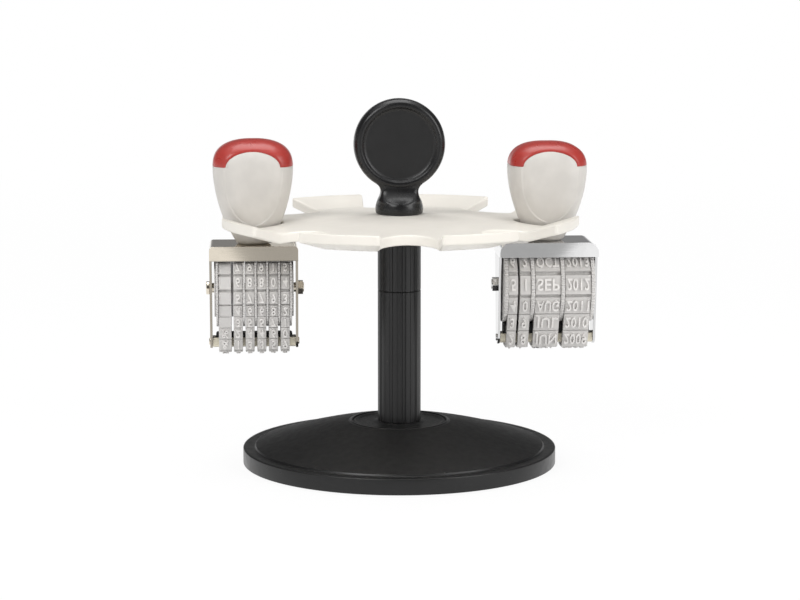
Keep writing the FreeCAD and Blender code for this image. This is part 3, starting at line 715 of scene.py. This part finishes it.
def slottedPlate():
    p = Sizes(**plate)
    outline = divided(plateOutline(), p.step)
    form = bmesh.new()

    def ring(points, side, drop=0.0):  # on the top face (1) or the lower one (-1), sunk that far
        tops = [plateTop(q.length) for q in points]
        heights = [top - drop if side > 0 else top - p.thick + drop for top in tops]
        return [form.verts.new((q.x * mm, q.y * mm, z * mm)) for q, z in zip(points, heights)]

    order = []  # seven rings from the top face to the wall, then seven on to the lower face
    for side, step in [(1, 6 - k) for k in range(7)] + [(-1, k) for k in range(7)]:
        t = step * math.pi / 12
        order.append(ring(inset(outline, p.edge * (1 - math.cos(t))), side, p.edge * (1 - math.sin(t))))
    skinned(form, order)
    bore = [Vector((p.boreR, 0)) @ Matrix.Rotation(t, 2) for t in anglesOf(96)]
    rims = []
    for side, edge in ((1, order[0]), (-1, order[-1])):
        rims.append(ring(bore, side))
        flat = [Vector((v.co.x, v.co.y)) / mm for v in edge]
        inside = []
        for r in plateRings:
            turns = anglesOf(max(48, round(2 * math.pi * r / p.spacing)))
            spots = [Vector((r * math.cos(t), r * math.sin(t))) for t in turns]
            inside += [q for q in spots if clearOf(q, flat)]
        points = flat + bore + inside
        edges = [(k, (k + 1) % len(flat)) for k in range(len(flat))]
        edges += [(len(flat) + k, len(flat) + (k + 1) % len(bore)) for k in range(len(bore))]
        made = delaunay_2d_cdt(points, edges, [], 0, 1e-5)
        verts = edge + rims[-1] + ring(inside, side)
        for triangle in made[2]:
            corners = [made[3][i][0] for i in triangle]
            centre = sum((points[c] for c in corners), Vector((0, 0))) / 3
            if centre.length > p.boreR * 0.999 and within(centre, flat):
                form.faces.new([verts[c] for c in corners])
    skinned(form, rims)
    mesh = meshOf("slottedPlate", form, 50.0)
    pieceOf("slottedPlate", mesh, ivoryPlastic(), "carousel", "carousel_plate")


def within(point, outline):  # counts the edges crossed on one side of the point
    inside = False
    for i, a in enumerate(outline):
        b = outline[i - 1]
        if (a.y > point.y) != (b.y > point.y):
            inside ^= point.x < (b.x - a.x) * (point.y - a.y) / (b.y - a.y) + a.x
    return inside


def clearOf(point, outline):
    room = plate["clear"]
    return within(point, outline) and min((point - q).length_squared for q in outline) > room * room


def superRing(a, b, z, power):  # between an ellipse (2) and a rectangle (much more)
    def along(half, share):
        return half * math.copysign(abs(share) ** (2 / power), share)

    return [(along(a, math.cos(t)), along(b, math.sin(t)), z) for t in anglesOf(96)]


def roundKnob():
    k = Sizes(**knob)
    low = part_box("knob")[0].z / mm
    side = [(0, k.fieldHalf, 0), (k.fieldR - 0.5, k.fieldHalf, 0.6)]
    side += [(k.fieldR + 0.35, k.fieldHalf + 0.45, 0.8), (k.fieldR + 1.3, k.half - 0.15, 0.8)]
    side += [(k.fieldR + 2.2, k.half, 1.2), (k.r - 1.4, k.half - 0.35, 1.2)]
    side += [(k.r - 0.35, k.half - 1.5, 1.4), (k.r, k.half - 3.0, 1.6)]
    side += [(r, -h, soft) for r, h, soft in side[::-1]]
    upright = Matrix.Translation((0, 0, k.centreZ * mm)) @ Matrix.Rotation(math.radians(90), 4, "X")
    disc = turned("knobDisc", side, k.sides, upright, 6)
    reach = k.r + k.filletR
    across = k.neckR + k.filletR
    filletZ = k.centreZ - math.sqrt(reach * reach - across * across)

    def stemRing(a, up):  # the front draws back to a flat web above the bead
        share = min(1.0, max(0.0, (up - k.webFrom) / (k.webTo - k.webFrom)))
        thin = share * (2 - share)
        bead = beadProfile[8][1] if up > k.webFrom else a
        return superRing(a, bead + (k.webHalf - bead) * thin, low + up, 2 + 4.0 * thin)

    rings = [stemRing(r, up) for up, r in beadProfile]
    start = beadProfile[-1][0]
    for step in range(1, 15):
        up = start + (filletZ + k.stemRise - low - start) * step / 14
        rise = max(0.0, low + up - filletZ)
        rings.append(stemRing(across - math.sqrt(k.filletR ** 2 - rise * rise), up))
    rings.append([(x, y, z + k.stemIn) for x, y, z in rings[-1]])
    stem = linked("knobStem", lofted("knobStem", rings, 45.0))
    bottom, top = low - 1, low + k.rodDeep
    hole = [(0, bottom), (k.rodR, bottom), (k.rodR, top), (0, top)]
    drill = linked("knobDrill", lathe("knobDrill", hole, 48))
    steps = []
    for operation, tool in (("UNION", stem), ("DIFFERENCE", drill)):
        steps.append(("BOOLEAN", {"operation": operation, "solver": "EXACT", "object": tool}))
    mesh = settled(disc, steps)
    for tool in (stem, drill):
        bpy.data.objects.remove(tool)
    pieceOf("roundKnob", smooth(mesh, 38.0), knobPlastic(), "stand", "knob")


groovedBar = groovedBarTree()
baseBody()
dishedFoot()
pieceOf("flutedColumn", flutedTube("column", column["bore"]), blackColumn, "stand", "column")
fall = (plate["apexZ"] - plate["foldZ"]) * column["hubTopR"] / plate["foldR"]
hubTop = (plate["apexZ"] - plate["thick"] - fall) * mm
hubMesh = joined("turningHub", [flutedTube("carousel_hub", column["hubBore"], hubTop), hubNeck()], 25.0)
pieceOf("turningHub", hubMesh, blackColumn, "carousel", "carousel_hub")
slottedPlate()
roundKnob()
pieceOf("basePlate", refined("base_cover", 0.3), coverPlastic, "stand", "base_cover")
pieceOf("footPads", refined("foot_pads", 0.12), padRubber, "stand", "foot_pads")
plainNodes = {"ballast_ring": castIron, "bearing_spigot": nylonPlastic, "clamp_nut": zincSteel,
              "tie_rod": zincSteel, "number_handle_screw": zincSteel, "date_handle_screw": zincSteel}
for node, finish in plainNodes.items():
    coated(nodes[node], finish)
print("stand and carousel made")


stamps = {
    "number": {"rows": 18, "phase": 0.0, "typeH": 3.8, "typeW": 2.2, "teeth": 70, "toothD": 0.42,
               "notch": 0.16, "pin": nickelPin, "sheet": nickelSheet},
    "date": {"rows": 12, "phase": -0.26, "typeH": 4.95, "typeW": 2.5, "teeth": 66, "toothD": 0.42,
             "notch": 0.26, "pin": chromePin, "sheet": chromeSheet},
}
axleDrop = 18.5
for name, stamp in stamps.items():
    low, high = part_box(name + "_frame")
    stamp["x"], stamp["top"] = (low.x + high.x) / 2 / mm, high.z / mm
    stamp["axleZ"] = stamp["top"] - axleDrop

# Handles: heights over the stamp's frame, half-widths (A) and half-thicknesses (B).
grip = {"footA": 5.4, "footB": 5.2, "footRound": 1.3, "slotZ": 8.6, "slotA": 11.5, "slotB": 10.9,
        "wideA": 16.35, "wideB": 13.2, "wideZ": 31.4, "fullH": 42.95, "crownPower": 2.6,
        "crownRoot": 0.444, "flare": 1.8, "squareZ": 29.0, "panelDepth": 0.35, "panelEdge": 0.9,
        "panelTip": 8.4, "panelW": 11.0, "shieldPower": 3, "shieldRoot": 0.62, "capEdge": 32.1,
        "archTop": 38.45, "seam": 0.3, "capWall": 0.35, "capProud": 0.05, "capEdgeSunk": 0.28,
        "gripEdgeSunk": 0.14}
dateGrip = {**grip, "wideA": 15.95, "wideZ": 29.4, "fullH": 40.8, "crownRoot": 0.385, "capEdge": 31.2,
            "archTop": 37.3}


def sectionAt(g, z):
    # Half-width, half-thickness and the rounding of the corners as a share of the thickness.
    share = min(1.0, max(0.0, (z - g.slotZ) / (g.squareZ - g.slotZ)))
    corner = 0.95 - 0.25 * share * (2 - share)
    if z > g.wideZ:
        rise = (z - g.wideZ) / (g.fullH - g.wideZ)
        crown = (1 - rise ** g.crownPower) ** g.crownRoot
        return g.wideA * crown, g.wideB * crown, corner
    if z >= g.slotZ:
        share = ((g.wideZ - z) / (g.wideZ - g.slotZ)) ** g.flare
        return g.wideA - (g.wideA - g.slotA) * share, g.wideB - (g.wideB - g.slotB) * share, corner
    soft = g.footRound
    short = soft - math.sqrt(max(0.0, soft * soft - (soft - z) ** 2)) if z < soft else 0.0
    down = (g.slotZ - z) / g.slotZ
    ends = ((g.slotA, g.footA), (g.slotB, g.footB))
    a, b = (slot - (slot - foot - soft) * down - short for slot, foot in ends)
    return a, b, corner


def panelHalf(g, z):
    # Half-width of the front panel: an arch on top of a shield.
    if z >= g.archTop or z <= g.panelTip:
        return 0.0
    if z > g.capEdge:
        return g.panelW * math.sqrt(1 - ((z - g.capEdge) / (g.archTop - g.capEdge)) ** 2)
    down = (g.capEdge - z) / (g.capEdge - g.panelTip)
    return g.panelW * (1 - down ** g.shieldPower) ** g.shieldRoot


def outsidePanel(g, x, z):
    # Roughly how far outside the panel's border a point is.
    if z > g.capEdge:
        wide, tall, up = g.panelW, g.archTop - g.capEdge, z - g.capEdge
        reach = math.hypot(x / wide, up / tall)
        return (reach - 1) * reach / math.hypot(x / wide ** 2, up / tall ** 2)
    if z <= g.panelTip:
        return math.hypot(x, g.panelTip - z)
    return (abs(x) - panelHalf(g, z)) * 0.93


def gripRing(g, z):
    # A quarter of the rounded section, its columns gathered along the panel's border, four times.
    a, b, corner = sectionAt(g, z)
    r = corner * min(a, b)
    flat, bend = a - r, r * math.pi / 2
    total = flat + bend + b - r

    def lengthAt(x):
        return x if x <= flat else flat + r * math.asin(min(1.0, (x - flat) / r))

    def at(s):
        if s <= flat:
            return s, b
        if s <= flat + bend:
            return flat + r * math.sin((s - flat) / r), b - r + r * math.cos((s - flat) / r)
        return a, b - r - (s - flat - bend)

    border = lengthAt(min(panelHalf(g, z), a * 0.95))
    edge = min(border + g.panelEdge * 1.6, total * 0.8)
    lengths = [border * k / 10 for k in range(9)] + [border - min(g.seam, border / 10)]
    lengths += [border + (edge - border) * k / 6 for k in range(6)]
    lengths += [edge + (total - edge) * k / 24 for k in range(25)]
    quarter = []
    for s in lengths:
        x, y = at(s)
        away = max(0.0, min(1.0, outsidePanel(g, x, z) / g.panelEdge))
        quarter.append((x, y - g.panelDepth * (1 - away * away * (3 - 2 * away))))
    ring = [(x, -y) for x, y in quarter] + quarter[-2::-1]
    return ring + [(-x, y) for x, y in quarter[1:]] + [(-x, -y) for x, y in quarter[-2:0:-1]]


def gripHeights(g):
    foot, tall, crown = g.slotZ - g.footRound, g.archTop - g.capEdge, g.fullH - g.archTop
    made = [0.0, 0.08, 0.25, 0.5, 0.85] + [g.footRound + foot * k / 8 for k in range(8)]
    made += [g.slotZ + (g.capEdge - g.seam - g.slotZ) * k / 46 for k in range(47)]
    made += [g.capEdge, g.capEdge + g.seam]
    made += [g.capEdge + tall * math.sin(math.pi / 2 * k / 18) for k in range(2, 18)] + [g.archTop]
    return made + [g.archTop + crown * math.sin(math.pi / 2 * k / 20) * 0.9995 for k in range(1, 21)]


def gripAndCap(name, g):
    stamp = stamps[name]
    levels = gripHeights(g)
    form = bmesh.new()
    mark = form.faces.layers.int.new("cap")
    loops = []
    for z in levels:
        height = (stamp["top"] + z) * mm
        spots = [((stamp["x"] + x) * mm, y * mm, height) for x, y in gripRing(g, z)]
        loops.append([form.verts.new(spot) for spot in spots])
    count = len(loops[0])
    capStart, archEnd = levels.index(g.capEdge), levels.index(g.archTop)
    # The panel's columns lie either side of the front and the back centre line.
    inPanel = {(start + k) % count for start in (0, count // 2) for k in range(-10, 10)}
    strips = skinned(form, loops)
    capFaces = [face for strip in strips[archEnd:] for face in strip]
    for strip in strips[capStart:archEnd]:
        capFaces += [face for k, face in enumerate(strip) if k not in inPanel]
    form.faces.new(loops[0][::-1])
    capFaces.append(form.faces.new(loops[-1]))
    for face in capFaces:
        face[mark] = 1
    bmesh.ops.remove_doubles(form, verts=form.verts, dist=2e-6)
    bmesh.ops.dissolve_degenerate(form, dist=1e-6, edges=form.edges)
    bmesh.ops.recalc_face_normals(form, faces=form.faces)
    form.normal_update()
    shell = form.copy()

    def marked(mesh, layer, kinds):  # the points with such faces round them: grip 0, cap 1
        return [v for v in mesh.verts if {face[layer] for face in v.link_faces} == kinds]

    moves = [(v, v.normal * (g.capWall + 0.1) * mm) for v in marked(form, mark, {1})]
    moves += [(v, v.normal * g.gripEdgeSunk * mm) for v in marked(form, mark, {0, 1})]
    for vert, move in moves:
        vert.co -= move
    body = meshOf(name + "Grip", form, 50.0)
    mark = shell.faces.layers.int["cap"]
    moves = [(v, v.normal * -g.capEdgeSunk * mm) for v in marked(shell, mark, {0, 1})]
    moves += [(v, v.normal * g.capProud * mm) for v in marked(shell, mark, {1})]
    bmesh.ops.delete(shell, geom=[face for face in shell.faces if not face[mark]], context="FACES")
    for vert, move in moves:
        vert.co += move
    wall = {"thickness": g.capWall * mm, "offset": -1.0}
    cap = settled(meshed(name + "Cap", shell), [("SOLIDIFY", wall)])
    pieceOf(name + "Grip", body, greyGrip, name + "_stamp", name + "_handle")
    pieceOf(name + "Cap", smooth(cap, 50.0), redCap, name + "_stamp", name + "_cap")


wheelForm = {"points": 8, "edge": 0.1, "hubR": 12.25, "bore": 2.05, "gap": 0.66, "overlap": 0.1}


def titleOf(node):
    first, *others = node.split("_")
    return first + "".join(word.capitalize() for word in others)


def axleBar(stamp, startX, endX, radius, teeth=0, depth=0.0):
    # A bar is made along Z and laid along X on the stamp's axle.
    w = Sizes(**wheelForm)
    pitch = 2 * math.pi * radius / max(teeth, 1)
    values = {"Radius": radius * mm, "Bore": w.bore * mm, "Length": endX - startX, "Edge": w.edge * mm,
              "Points": max(96, teeth * w.points), "Material": wheelPlastic,
              "Grooves": float(max(teeth, 1)), "Groove Width": pitch * w.gap * mm,
              "Groove Depth": depth * mm, "Lines": 1.0, "Line Width": 0.1 * mm, "Line Depth": 0.0}
    mesh = fromTree(groovedBar, values)
    place = Matrix.Translation((startX, 0, stamp["axleZ"] * mm))
    mesh.transform(place @ Matrix.Rotation(math.radians(90), 4, "Y"))
    return mesh


def typeWheel(name, wheelNode, bandNode):
    # A thin knurled disc beside the band, and the plain hub inside it.
    stamp, overlap = stamps[name], wheelForm["overlap"] * mm
    (lowW, highW), (lowB, highB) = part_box(wheelNode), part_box(bandNode)
    if abs(lowW.x - lowB.x) > abs(highW.x - highB.x):
        discEnds = lowW.x, lowB.x - overlap
        hubEnds = discEnds[1] - overlap, highW.x
    else:
        discEnds = highB.x + overlap, highW.x
        hubEnds = lowW.x, discEnds[0] + overlap
    disc = axleBar(stamp, *discEnds, (highW.z - lowW.z) / 2 / mm, stamp["teeth"], stamp["toothD"])
    hub = axleBar(stamp, *hubEnds, wheelForm["hubR"])
    mesh = joined(wheelNode, [disc, hub])
    pieceOf(titleOf(wheelNode) + "Knurled", mesh, wheelPlastic, wheelNode, wheelNode)


def plainDiscs():
    # The spacers of the number stamp, each between two neighbours on the axle.
    node = "number_spacer_discs"
    sides = sorted({round(vert.co.x, 5) for vert in nodes[node].data.vertices})
    low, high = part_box(node)
    radius = (high.z - low.z) / 2 / mm
    discs = [axleBar(stamps["number"], a, b, radius) for a, b in zip(sides[0::2], sides[1::2])]
    pieceOf("plainDiscs", joined("plainDiscs", discs), wheelPlastic, "number_stamp", node)


# The last two pairs are painted shade levels for the sides and the tops of the type and of the pads.
band = {"seatR": 12.5, "slack": 0.05, "body": 1.4, "pad": 0.72, "sink": 0.5, "proud": 0.75, "edge": 0.22,
        "platenHalf": 3.4, "platenR": 1.2, "platenDrop": 42.8, "taper": 0.13, "step": 0.7,
        "typeWorn": (0.1, 1.0), "padWorn": (0.15, 0.42)}
# The plain font: its digits' height and width, their middle, and how full a word makes its band.
font = {"tall": 0.73, "wide": 0.56, "middle": 0.36, "full": 0.87, "bold": 0.016, "apart": 1.06}


class BandPath:  # the band's inside, from the middle of its bottom run round the platen and the wheel
    def __init__(self):
        b = Sizes(**band)
        self.across = b.platenHalf - b.platenR
        self.cornerZ, self.cornerR = b.platenR - b.platenDrop, b.platenR
        self.wheelZ, self.wheelR = -axleDrop, b.seatR
        rise = self.wheelZ - self.cornerZ
        span = math.hypot(self.across, rise)
        self.tilt = math.atan2(self.across, rise) - math.asin((self.wheelR - self.cornerR) / span)
        self.run = math.sqrt(span ** 2 - (self.wheelR - self.cornerR) ** 2)
        self.bend = self.cornerR * (math.pi / 2 + self.tilt)
        self.half = self.across + self.bend + self.run + self.wheelR * (math.pi / 2 - self.tilt)

    def at(self, s):  # (y, z) and the outward direction there
        side, s = (1 if s >= 0 else -1), abs(s)
        if s <= self.across:
            y, z, a = s, self.cornerZ - self.cornerR, -math.pi / 2
        elif s <= self.across + self.bend:
            a = (s - self.across) / self.cornerR - math.pi / 2
            y, z = self.across + self.cornerR * math.cos(a), self.cornerZ + self.cornerR * math.sin(a)
        elif s <= self.across + self.bend + self.run:
            a, along = self.tilt, s - self.across - self.bend
            y = self.across + self.cornerR * math.cos(a) - along * math.sin(a)
            z = self.cornerZ + self.cornerR * math.sin(a) + along * math.cos(a)
        else:
            a = self.tilt + (s - self.across - self.bend - self.run) / self.wheelR
            y, z = self.wheelR * math.cos(a), self.wheelZ + self.wheelR * math.sin(a)
        return Vector((y * side, z)), Vector((math.cos(a) * side, math.sin(a)))


def bandBody(stamp, startX, endX):
    # The rubber loop under the type, its outer edges broken.
    b, path = Sizes(**band), BandPath()
    count = round(2 * path.half / b.step)
    section = [(startX, b.slack), (endX, b.slack), (endX, b.body - b.edge)]
    section += [(endX - b.edge, b.body), (startX + b.edge, b.body), (startX, b.body - b.edge)]
    form = bmesh.new()
    loops = []
    for k in range(count):
        point, out = path.at(-path.half + 2 * path.half * k / count)
        ring = [(x, point.x + out.x * h, point.y + out.y * h + stamp["top"]) for x, h in section]
        loops.append(ringOf(form, ring))
    skinned(form, loops + loops[:1])
    return meshOf("bandBody", form, 50.0)


def alongBandTree():
    # Puts the picked member of a collection on each row's point, turned about X by the row's tilt.
    inputs = {"Geometry": "Geometry", "Members": "Collection", "Material": "Material"}
    g, given = newTree("alongBand", inputs)
    inputs = {"Collection": given("Members"), "Separate Children": True, "Reset Children": True}
    members = g.add("GeometryNodeCollectionInfo", None, inputs)
    tilt = g.add("GeometryNodeInputNamedAttribute", {"data_type": "FLOAT"}, {"Name": "tilt"})
    pick = g.add("GeometryNodeInputNamedAttribute", {"data_type": "INT"}, {"Name": "pick"})
    turn = g.add("ShaderNodeCombineXYZ", None, {0: tilt})
    turn = g.add("FunctionNodeEulerToRotation", None, {0: turn})
    inputs = {"Points": given("Geometry"), "Instance": members, "Pick Instance": True,
              "Instance Index": pick, "Rotation": turn}
    return closedTree(g, g.add("GeometryNodeInstanceOnPoints", None, inputs), given("Material"))


def noted(mesh, title, kind, values):  # one value for each point, as an attribute
    mesh.attributes.new(title, kind, "POINT").data.foreach_set("value", values)


def levelled(mesh, split, worn):
    # Notes a painted shade level for each point, sides and then tops, for the band's colour: sides
    # darker as in shade, tops lighter as lit.
    noted(mesh, "raised", "FLOAT", [worn[vert.co.z > split * mm] for vert in mesh.vertices])
    return mesh


def spanX(mesh):
    across = [vert.co.x for vert in mesh.vertices]
    return min(across), max(across)


def typeMesh(text, stamp, width):
    # Raised characters as they print: mirrored, because the paper is on the other side of them.
    data = bpy.data.curves.new("type", "FONT")
    data.body, data.align_x, data.resolution_u = text, "CENTER", 3
    data.extrude, data.offset, data.space_character = 0.5, font["bold"], font["apart"]
    mesh = evaluated(linked("type", data))
    tall, wide = stamp["typeH"] / font["tall"], stamp["typeW"] / font["wide"]
    left, right = spanX(mesh)
    if len(text) > 1:  # words and years fill the band
        wide = width * font["full"] / (right - left)
    proud = band["proud"]
    lift = proud * 1.2
    mesh.transform(Matrix.Diagonal((wide * mm, tall * mm, lift * mm, 1.0)))
    left, right = spanX(mesh)
    middle = (-(left + right) / 2, -font["middle"] * tall * mm, proud * mm - lift * mm / 2)
    mesh.transform(Matrix.Translation(middle))
    mesh.transform(Matrix.Diagonal((1.0, -1.0, 1.0, 1.0)))
    return levelled(meshOf("type" + text, welded(mesh), 35.0), proud * 0.5, band["typeWorn"])


def padMesh(width, length, notch):
    # One row's block: its sides lean in towards the face that carries the type.
    b = Sizes(**band)
    half, reach, lean = width / 2, length / 2 - notch / 2, b.taper
    sides = [(0, 0, -b.sink), (0, 0, b.pad * 0.35)]
    sides += [(lean * 0.8, lean * 0.5, b.pad - 0.08), (lean, lean * 0.7, b.pad)]
    places = [(half - inX, reach - inY, z) for inX, inY, z in sides]
    rings = [[(x, y, z), (-x, y, z), (-x, -y, z), (x, -y, z)] for x, y, z in places]
    return levelled(lofted("rowPad", rings, 30.0), b.pad * 0.6, b.padWorn)


def onRows(stamp, centreX, rows, members, picks, height):
    # One mesh with the picked member on each of those rows of a band.
    path, places, tilts = BandPath(), [], []
    for row in rows:
        point, out = path.at(-(row + stamp["phase"]) * 2 * path.half / stamp["rows"])
        place = point + out * height
        places.append(Vector((centreX, place.x, place.y + stamp["top"])) * mm)
        tilts.append(math.atan2(-out.x, out.y))
    mesh = bpy.data.meshes.new("rows")
    mesh.from_pydata(places, [], [])
    noted(mesh, "tilt", "FLOAT", tilts)
    noted(mesh, "pick", "INT", picks)
    held = bpy.data.collections.new("members")
    for k, member in enumerate(members):
        held.objects.link(bpy.data.objects.new("member%03d" % k, member))
    made = fromTree(alongBand, {"Members": held, "Material": bandRubber}, mesh)
    for member in list(held.objects):
        bpy.data.objects.remove(member)
    bpy.data.collections.remove(held)
    return made


def typeBand(name, node, texts):
    # texts maps a row, counted up the front from the bottom one, to its characters.
    stamp = stamps[name]
    low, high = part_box(node)
    startX, endX = low.x / mm, high.x / mm
    centreX, width = (startX + endX) / 2, endX - startX
    half = stamp["rows"] // 2
    rows = range(1 - half, half + 1)
    pad = padMesh(width, 2 * BandPath().half / stamp["rows"], stamp["notch"])
    pads = onRows(stamp, centreX, rows, [pad], [0] * len(rows), band["body"])
    marked = [row for row in rows if texts.get(row)]
    kinds = sorted({texts[row] for row in marked})
    picks = [kinds.index(texts[row]) for row in marked]
    members = [typeMesh(kind, stamp, width) for kind in kinds]
    types = onRows(stamp, centreX, marked, members, picks, band["body"] + band["pad"])
    body = bandBody(stamp, startX, endX)
    # The band between the pads gets the darkest painted shade level.
    raised = [0.0] * len(body.vertices)
    for mesh in (pads, types):
        raised += [point.value for point in mesh.attributes["raised"].data]
    made = joined(node, [body, pads, types], 40.0)
    noted(made, "raised", "FLOAT", raised)
    pieceOf(titleOf(node) + "Type", made, bandRubber, name + "_stamp", node)


def cycled(start):  # digits in their order
    return {row: str((start + row) % 10) for row in range(-8, 10)}


alongBand = alongBandTree()
months = ["JAN", "FEB", "MAR", "APR", "MAY", "JUN", "JUL", "AUG", "SEP", "OCT", "NOV", "DEC"]
yearBelow = 2008  # on the bottom row
dateRows = {
    "day_tens": {row: str((row + 1) % (10 if row > 0 else 4)) for row in range(-5, 7)},
    "day_units": cycled(7),
    "month": {row: months[(row + 4) % 12] for row in range(-5, 7)},
    "year": {row: str(yearBelow + row) for row in range(-5, 7)},
}
gripAndCap("number", Sizes(**grip))
gripAndCap("date", Sizes(**dateGrip))
print("handles made")
plainDiscs()
firstDigit = {2: 0, 3: 2, 4: 2, 5: 4, 6: 8}
for k in range(1, 7):
    texts = cycled(firstDigit[k]) if k > 1 else {0: "%", 1: "&", 2: "%", -1: "+", -2: "&"}
    typeBand("number", f"number_band_{k}", texts)
    typeWheel("number", f"number_wheel_{k}", f"number_band_{k}")
for what, texts in dateRows.items():
    typeBand("date", f"date_{what}_band", texts)
    typeWheel("date", f"date_{what}_wheel", f"date_{what}_band")
print("wheels and bands made")
for name, stamp in stamps.items():
    sheet, pin = stamp["sheet"], stamp["pin"]
    # The node it stands for, its name and finish, and how its edges are broken.
    small = [("frame", "Sheet", sheet, 0.22, 30.0, 3), ("axle", "AxlePin", pin, 0.25)]
    small += [("axle_nut", "AxleNut", pin, 0.3), ("platen", "Platen", creamPlastic, 0.2)]
    small += [("platen_bar", "PlatenBar", barPlastic, 0.2), ("platen_pins", "PlatenPins", pin, 0.25)]
    for what, title, finish, *edges in small:
        node = f"{name}_{what}"
        pieceOf(name + title, refined(node, *edges), finish, name + "_stamp", node)
print("stamps made")


studio = {"lens": 110.25, "turn": 3.7, "distance": 1001.65, "height": 222.3, "down": 8.77, "aside": 0.3,
          "dimAt": 0.066, "dimHalf": 0.162, "dimSoft": 0.012, "dimNear": 0.2, "dimShare": 0.58,
          "skyDim": 0.12, "skyFade": 16.0, "skySides": 2.2, "skyTop": 0.9, "floorGlow": 0.92,
          "floorHalf": 6.0, "floorDrop": 0.0002, "daylight": 0.5}
white = (1.0, 1.0, 1.0, 1.0)


def dimPlace(g, x, y):
    # How dim the mirrored studio is in that direction from the object, at the viewer's place in front of
    # it, and how far to a side of that place the direction goes.
    s = Sizes(**studio)
    depth = 0.0 - y
    away = (x / depth.maths("MAXIMUM", 0.001) - s.dimAt).maths("ABSOLUTE")
    inside = g.spread(away, s.dimHalf, s.dimHalf + s.dimSoft, 1.0, 0.0)
    aside = g.spread(away, 0.3, 1.0) * g.spread(depth, 0.0, 0.2)
    return inside * g.spread(depth, s.dimNear, s.dimNear * 1.5, 0.0, s.dimShare), aside


def studioGraph(owner):
    # An emptied node tree, and whether a ray comes from the camera or from a mirror or glass.
    owner.use_nodes = True
    g = Graph(owner.node_tree)
    g.tree.nodes.clear()
    path = g.add("ShaderNodeLightPath")
    mirrored = path.output("Is Glossy Ray") + path.output("Is Transmission Ray")
    return g, path.output("Is Camera Ray"), mirrored.maths("MINIMUM", 1.0)


def studioFloor():
    # White to the eye and in mirrors, apart from the dim place there where the viewer stands.
    finish = bpy.data.materials.new("studioFloor")
    g, seen, mirrored = studioGraph(finish)
    x, y, _ = g.split(g.add("ShaderNodeNewGeometry"))
    dim = dimPlace(g, x, y)[0] * mirrored
    far = g.spread((x * x + y * y).maths("SQRT"), 0.3, 1.2, studio["floorGlow"], 1.0)
    matt = g.add("ShaderNodeBsdfDiffuse", None, {"Color": shade(white, 0.95)})
    glow = g.add("ShaderNodeEmission", None, {"Color": white, "Strength": 1.0 - dim})
    share = (seen + mirrored).maths("MINIMUM", 1.0) * far
    mixed = g.add("ShaderNodeMixShader", None, {0: share, 1: matt, 2: glow})
    g.join(mixed, g.tree.nodes.new("ShaderNodeOutputMaterial").inputs[0])
    form = bmesh.new()
    bmesh.ops.create_grid(form, x_segments=1, y_segments=1, size=studio["floorHalf"])
    floor = linked("floor", meshed("floor", form))
    coated(floor, finish)
    floor.location.z = -studio["floorDrop"]
    floor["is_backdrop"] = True


def studioSky():
    # Reflections see it white at the horizon and dimmer higher up, as a studio's backdrop is.
    s = Sizes(**studio)
    world = bpy.data.worlds.new("studio")
    bpy.context.scene.world = world
    g, seen, mirrored = studioGraph(world)
    x, y, up = g.split(g.add("ShaderNodeTexCoord"))
    fade = (up.maths("MAXIMUM", 0.0) * -s.skyFade).maths("EXPONENT")
    dim, aside = dimPlace(g, x, y)
    sky = (fade * (1.0 - s.skyDim) + (1.0 + aside * s.skySides) * s.skyDim) * (1.0 - dim)
    sky = (sky + g.spread(up, 0.7, 0.9, 0.0, s.skyTop)).maths("MINIMUM", 1.0)
    strength = seen + mirrored * sky + (1.0 - seen - mirrored) * s.daylight
    back = g.add("ShaderNodeBackground", None, {"Color": white, "Strength": strength})
    g.join(back, g.tree.nodes.new("ShaderNodeOutputWorld").inputs[0])


# Soft lamps: place in metres, width, length, power.
lamps = {"keyLamp": ((-0.7, -0.9, 1.0), 0.7, 0.7, 8.0), "fillLamp": ((0.9, -0.7, 0.6), 0.6, 0.8, 5.5),
         "topLamp": ((0.0, 0.2, 1.3), 0.8, 0.8, 6.5)}
lampAim = (0, 0, 0.08)


def softLamps():
    for name, (place, width, length, power) in lamps.items():
        lamp = bpy.data.lights.new(name, "AREA")
        lamp.shape, lamp.size, lamp.size_y, lamp.energy = "RECTANGLE", width, length, power
        stand = linked(name, lamp)
        stand.location = place
        stand.rotation_euler = (Vector(lampAim) - Vector(place)).to_track_quat("-Z", "Y").to_euler()


def camera():
    s = Sizes(**studio)
    turn = math.radians(s.turn)
    data = bpy.data.cameras.new("camera")
    data.sensor_width, data.lens = 36.0, s.lens
    data.clip_start, data.clip_end = 0.05, 20.0
    stand = linked("camera", data)
    stand.location = Matrix.Rotation(-turn, 3, "Z") @ Vector((s.aside, -s.distance, s.height)) * mm
    stand.rotation_euler = (math.radians(90 - s.down), 0, -turn)
    bpy.context.scene.camera = stand


studioFloor()
studioSky()
softLamps()
camera()
print("studio made")
bpy.context.scene.view_settings.view_transform = "Standard"
low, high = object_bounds()
for title, corners in (("CAD box", (*cadLow, *cadHigh)), ("scene box", (*low, *high))):
    print(title, [round(value / mm, 1) for value in corners])
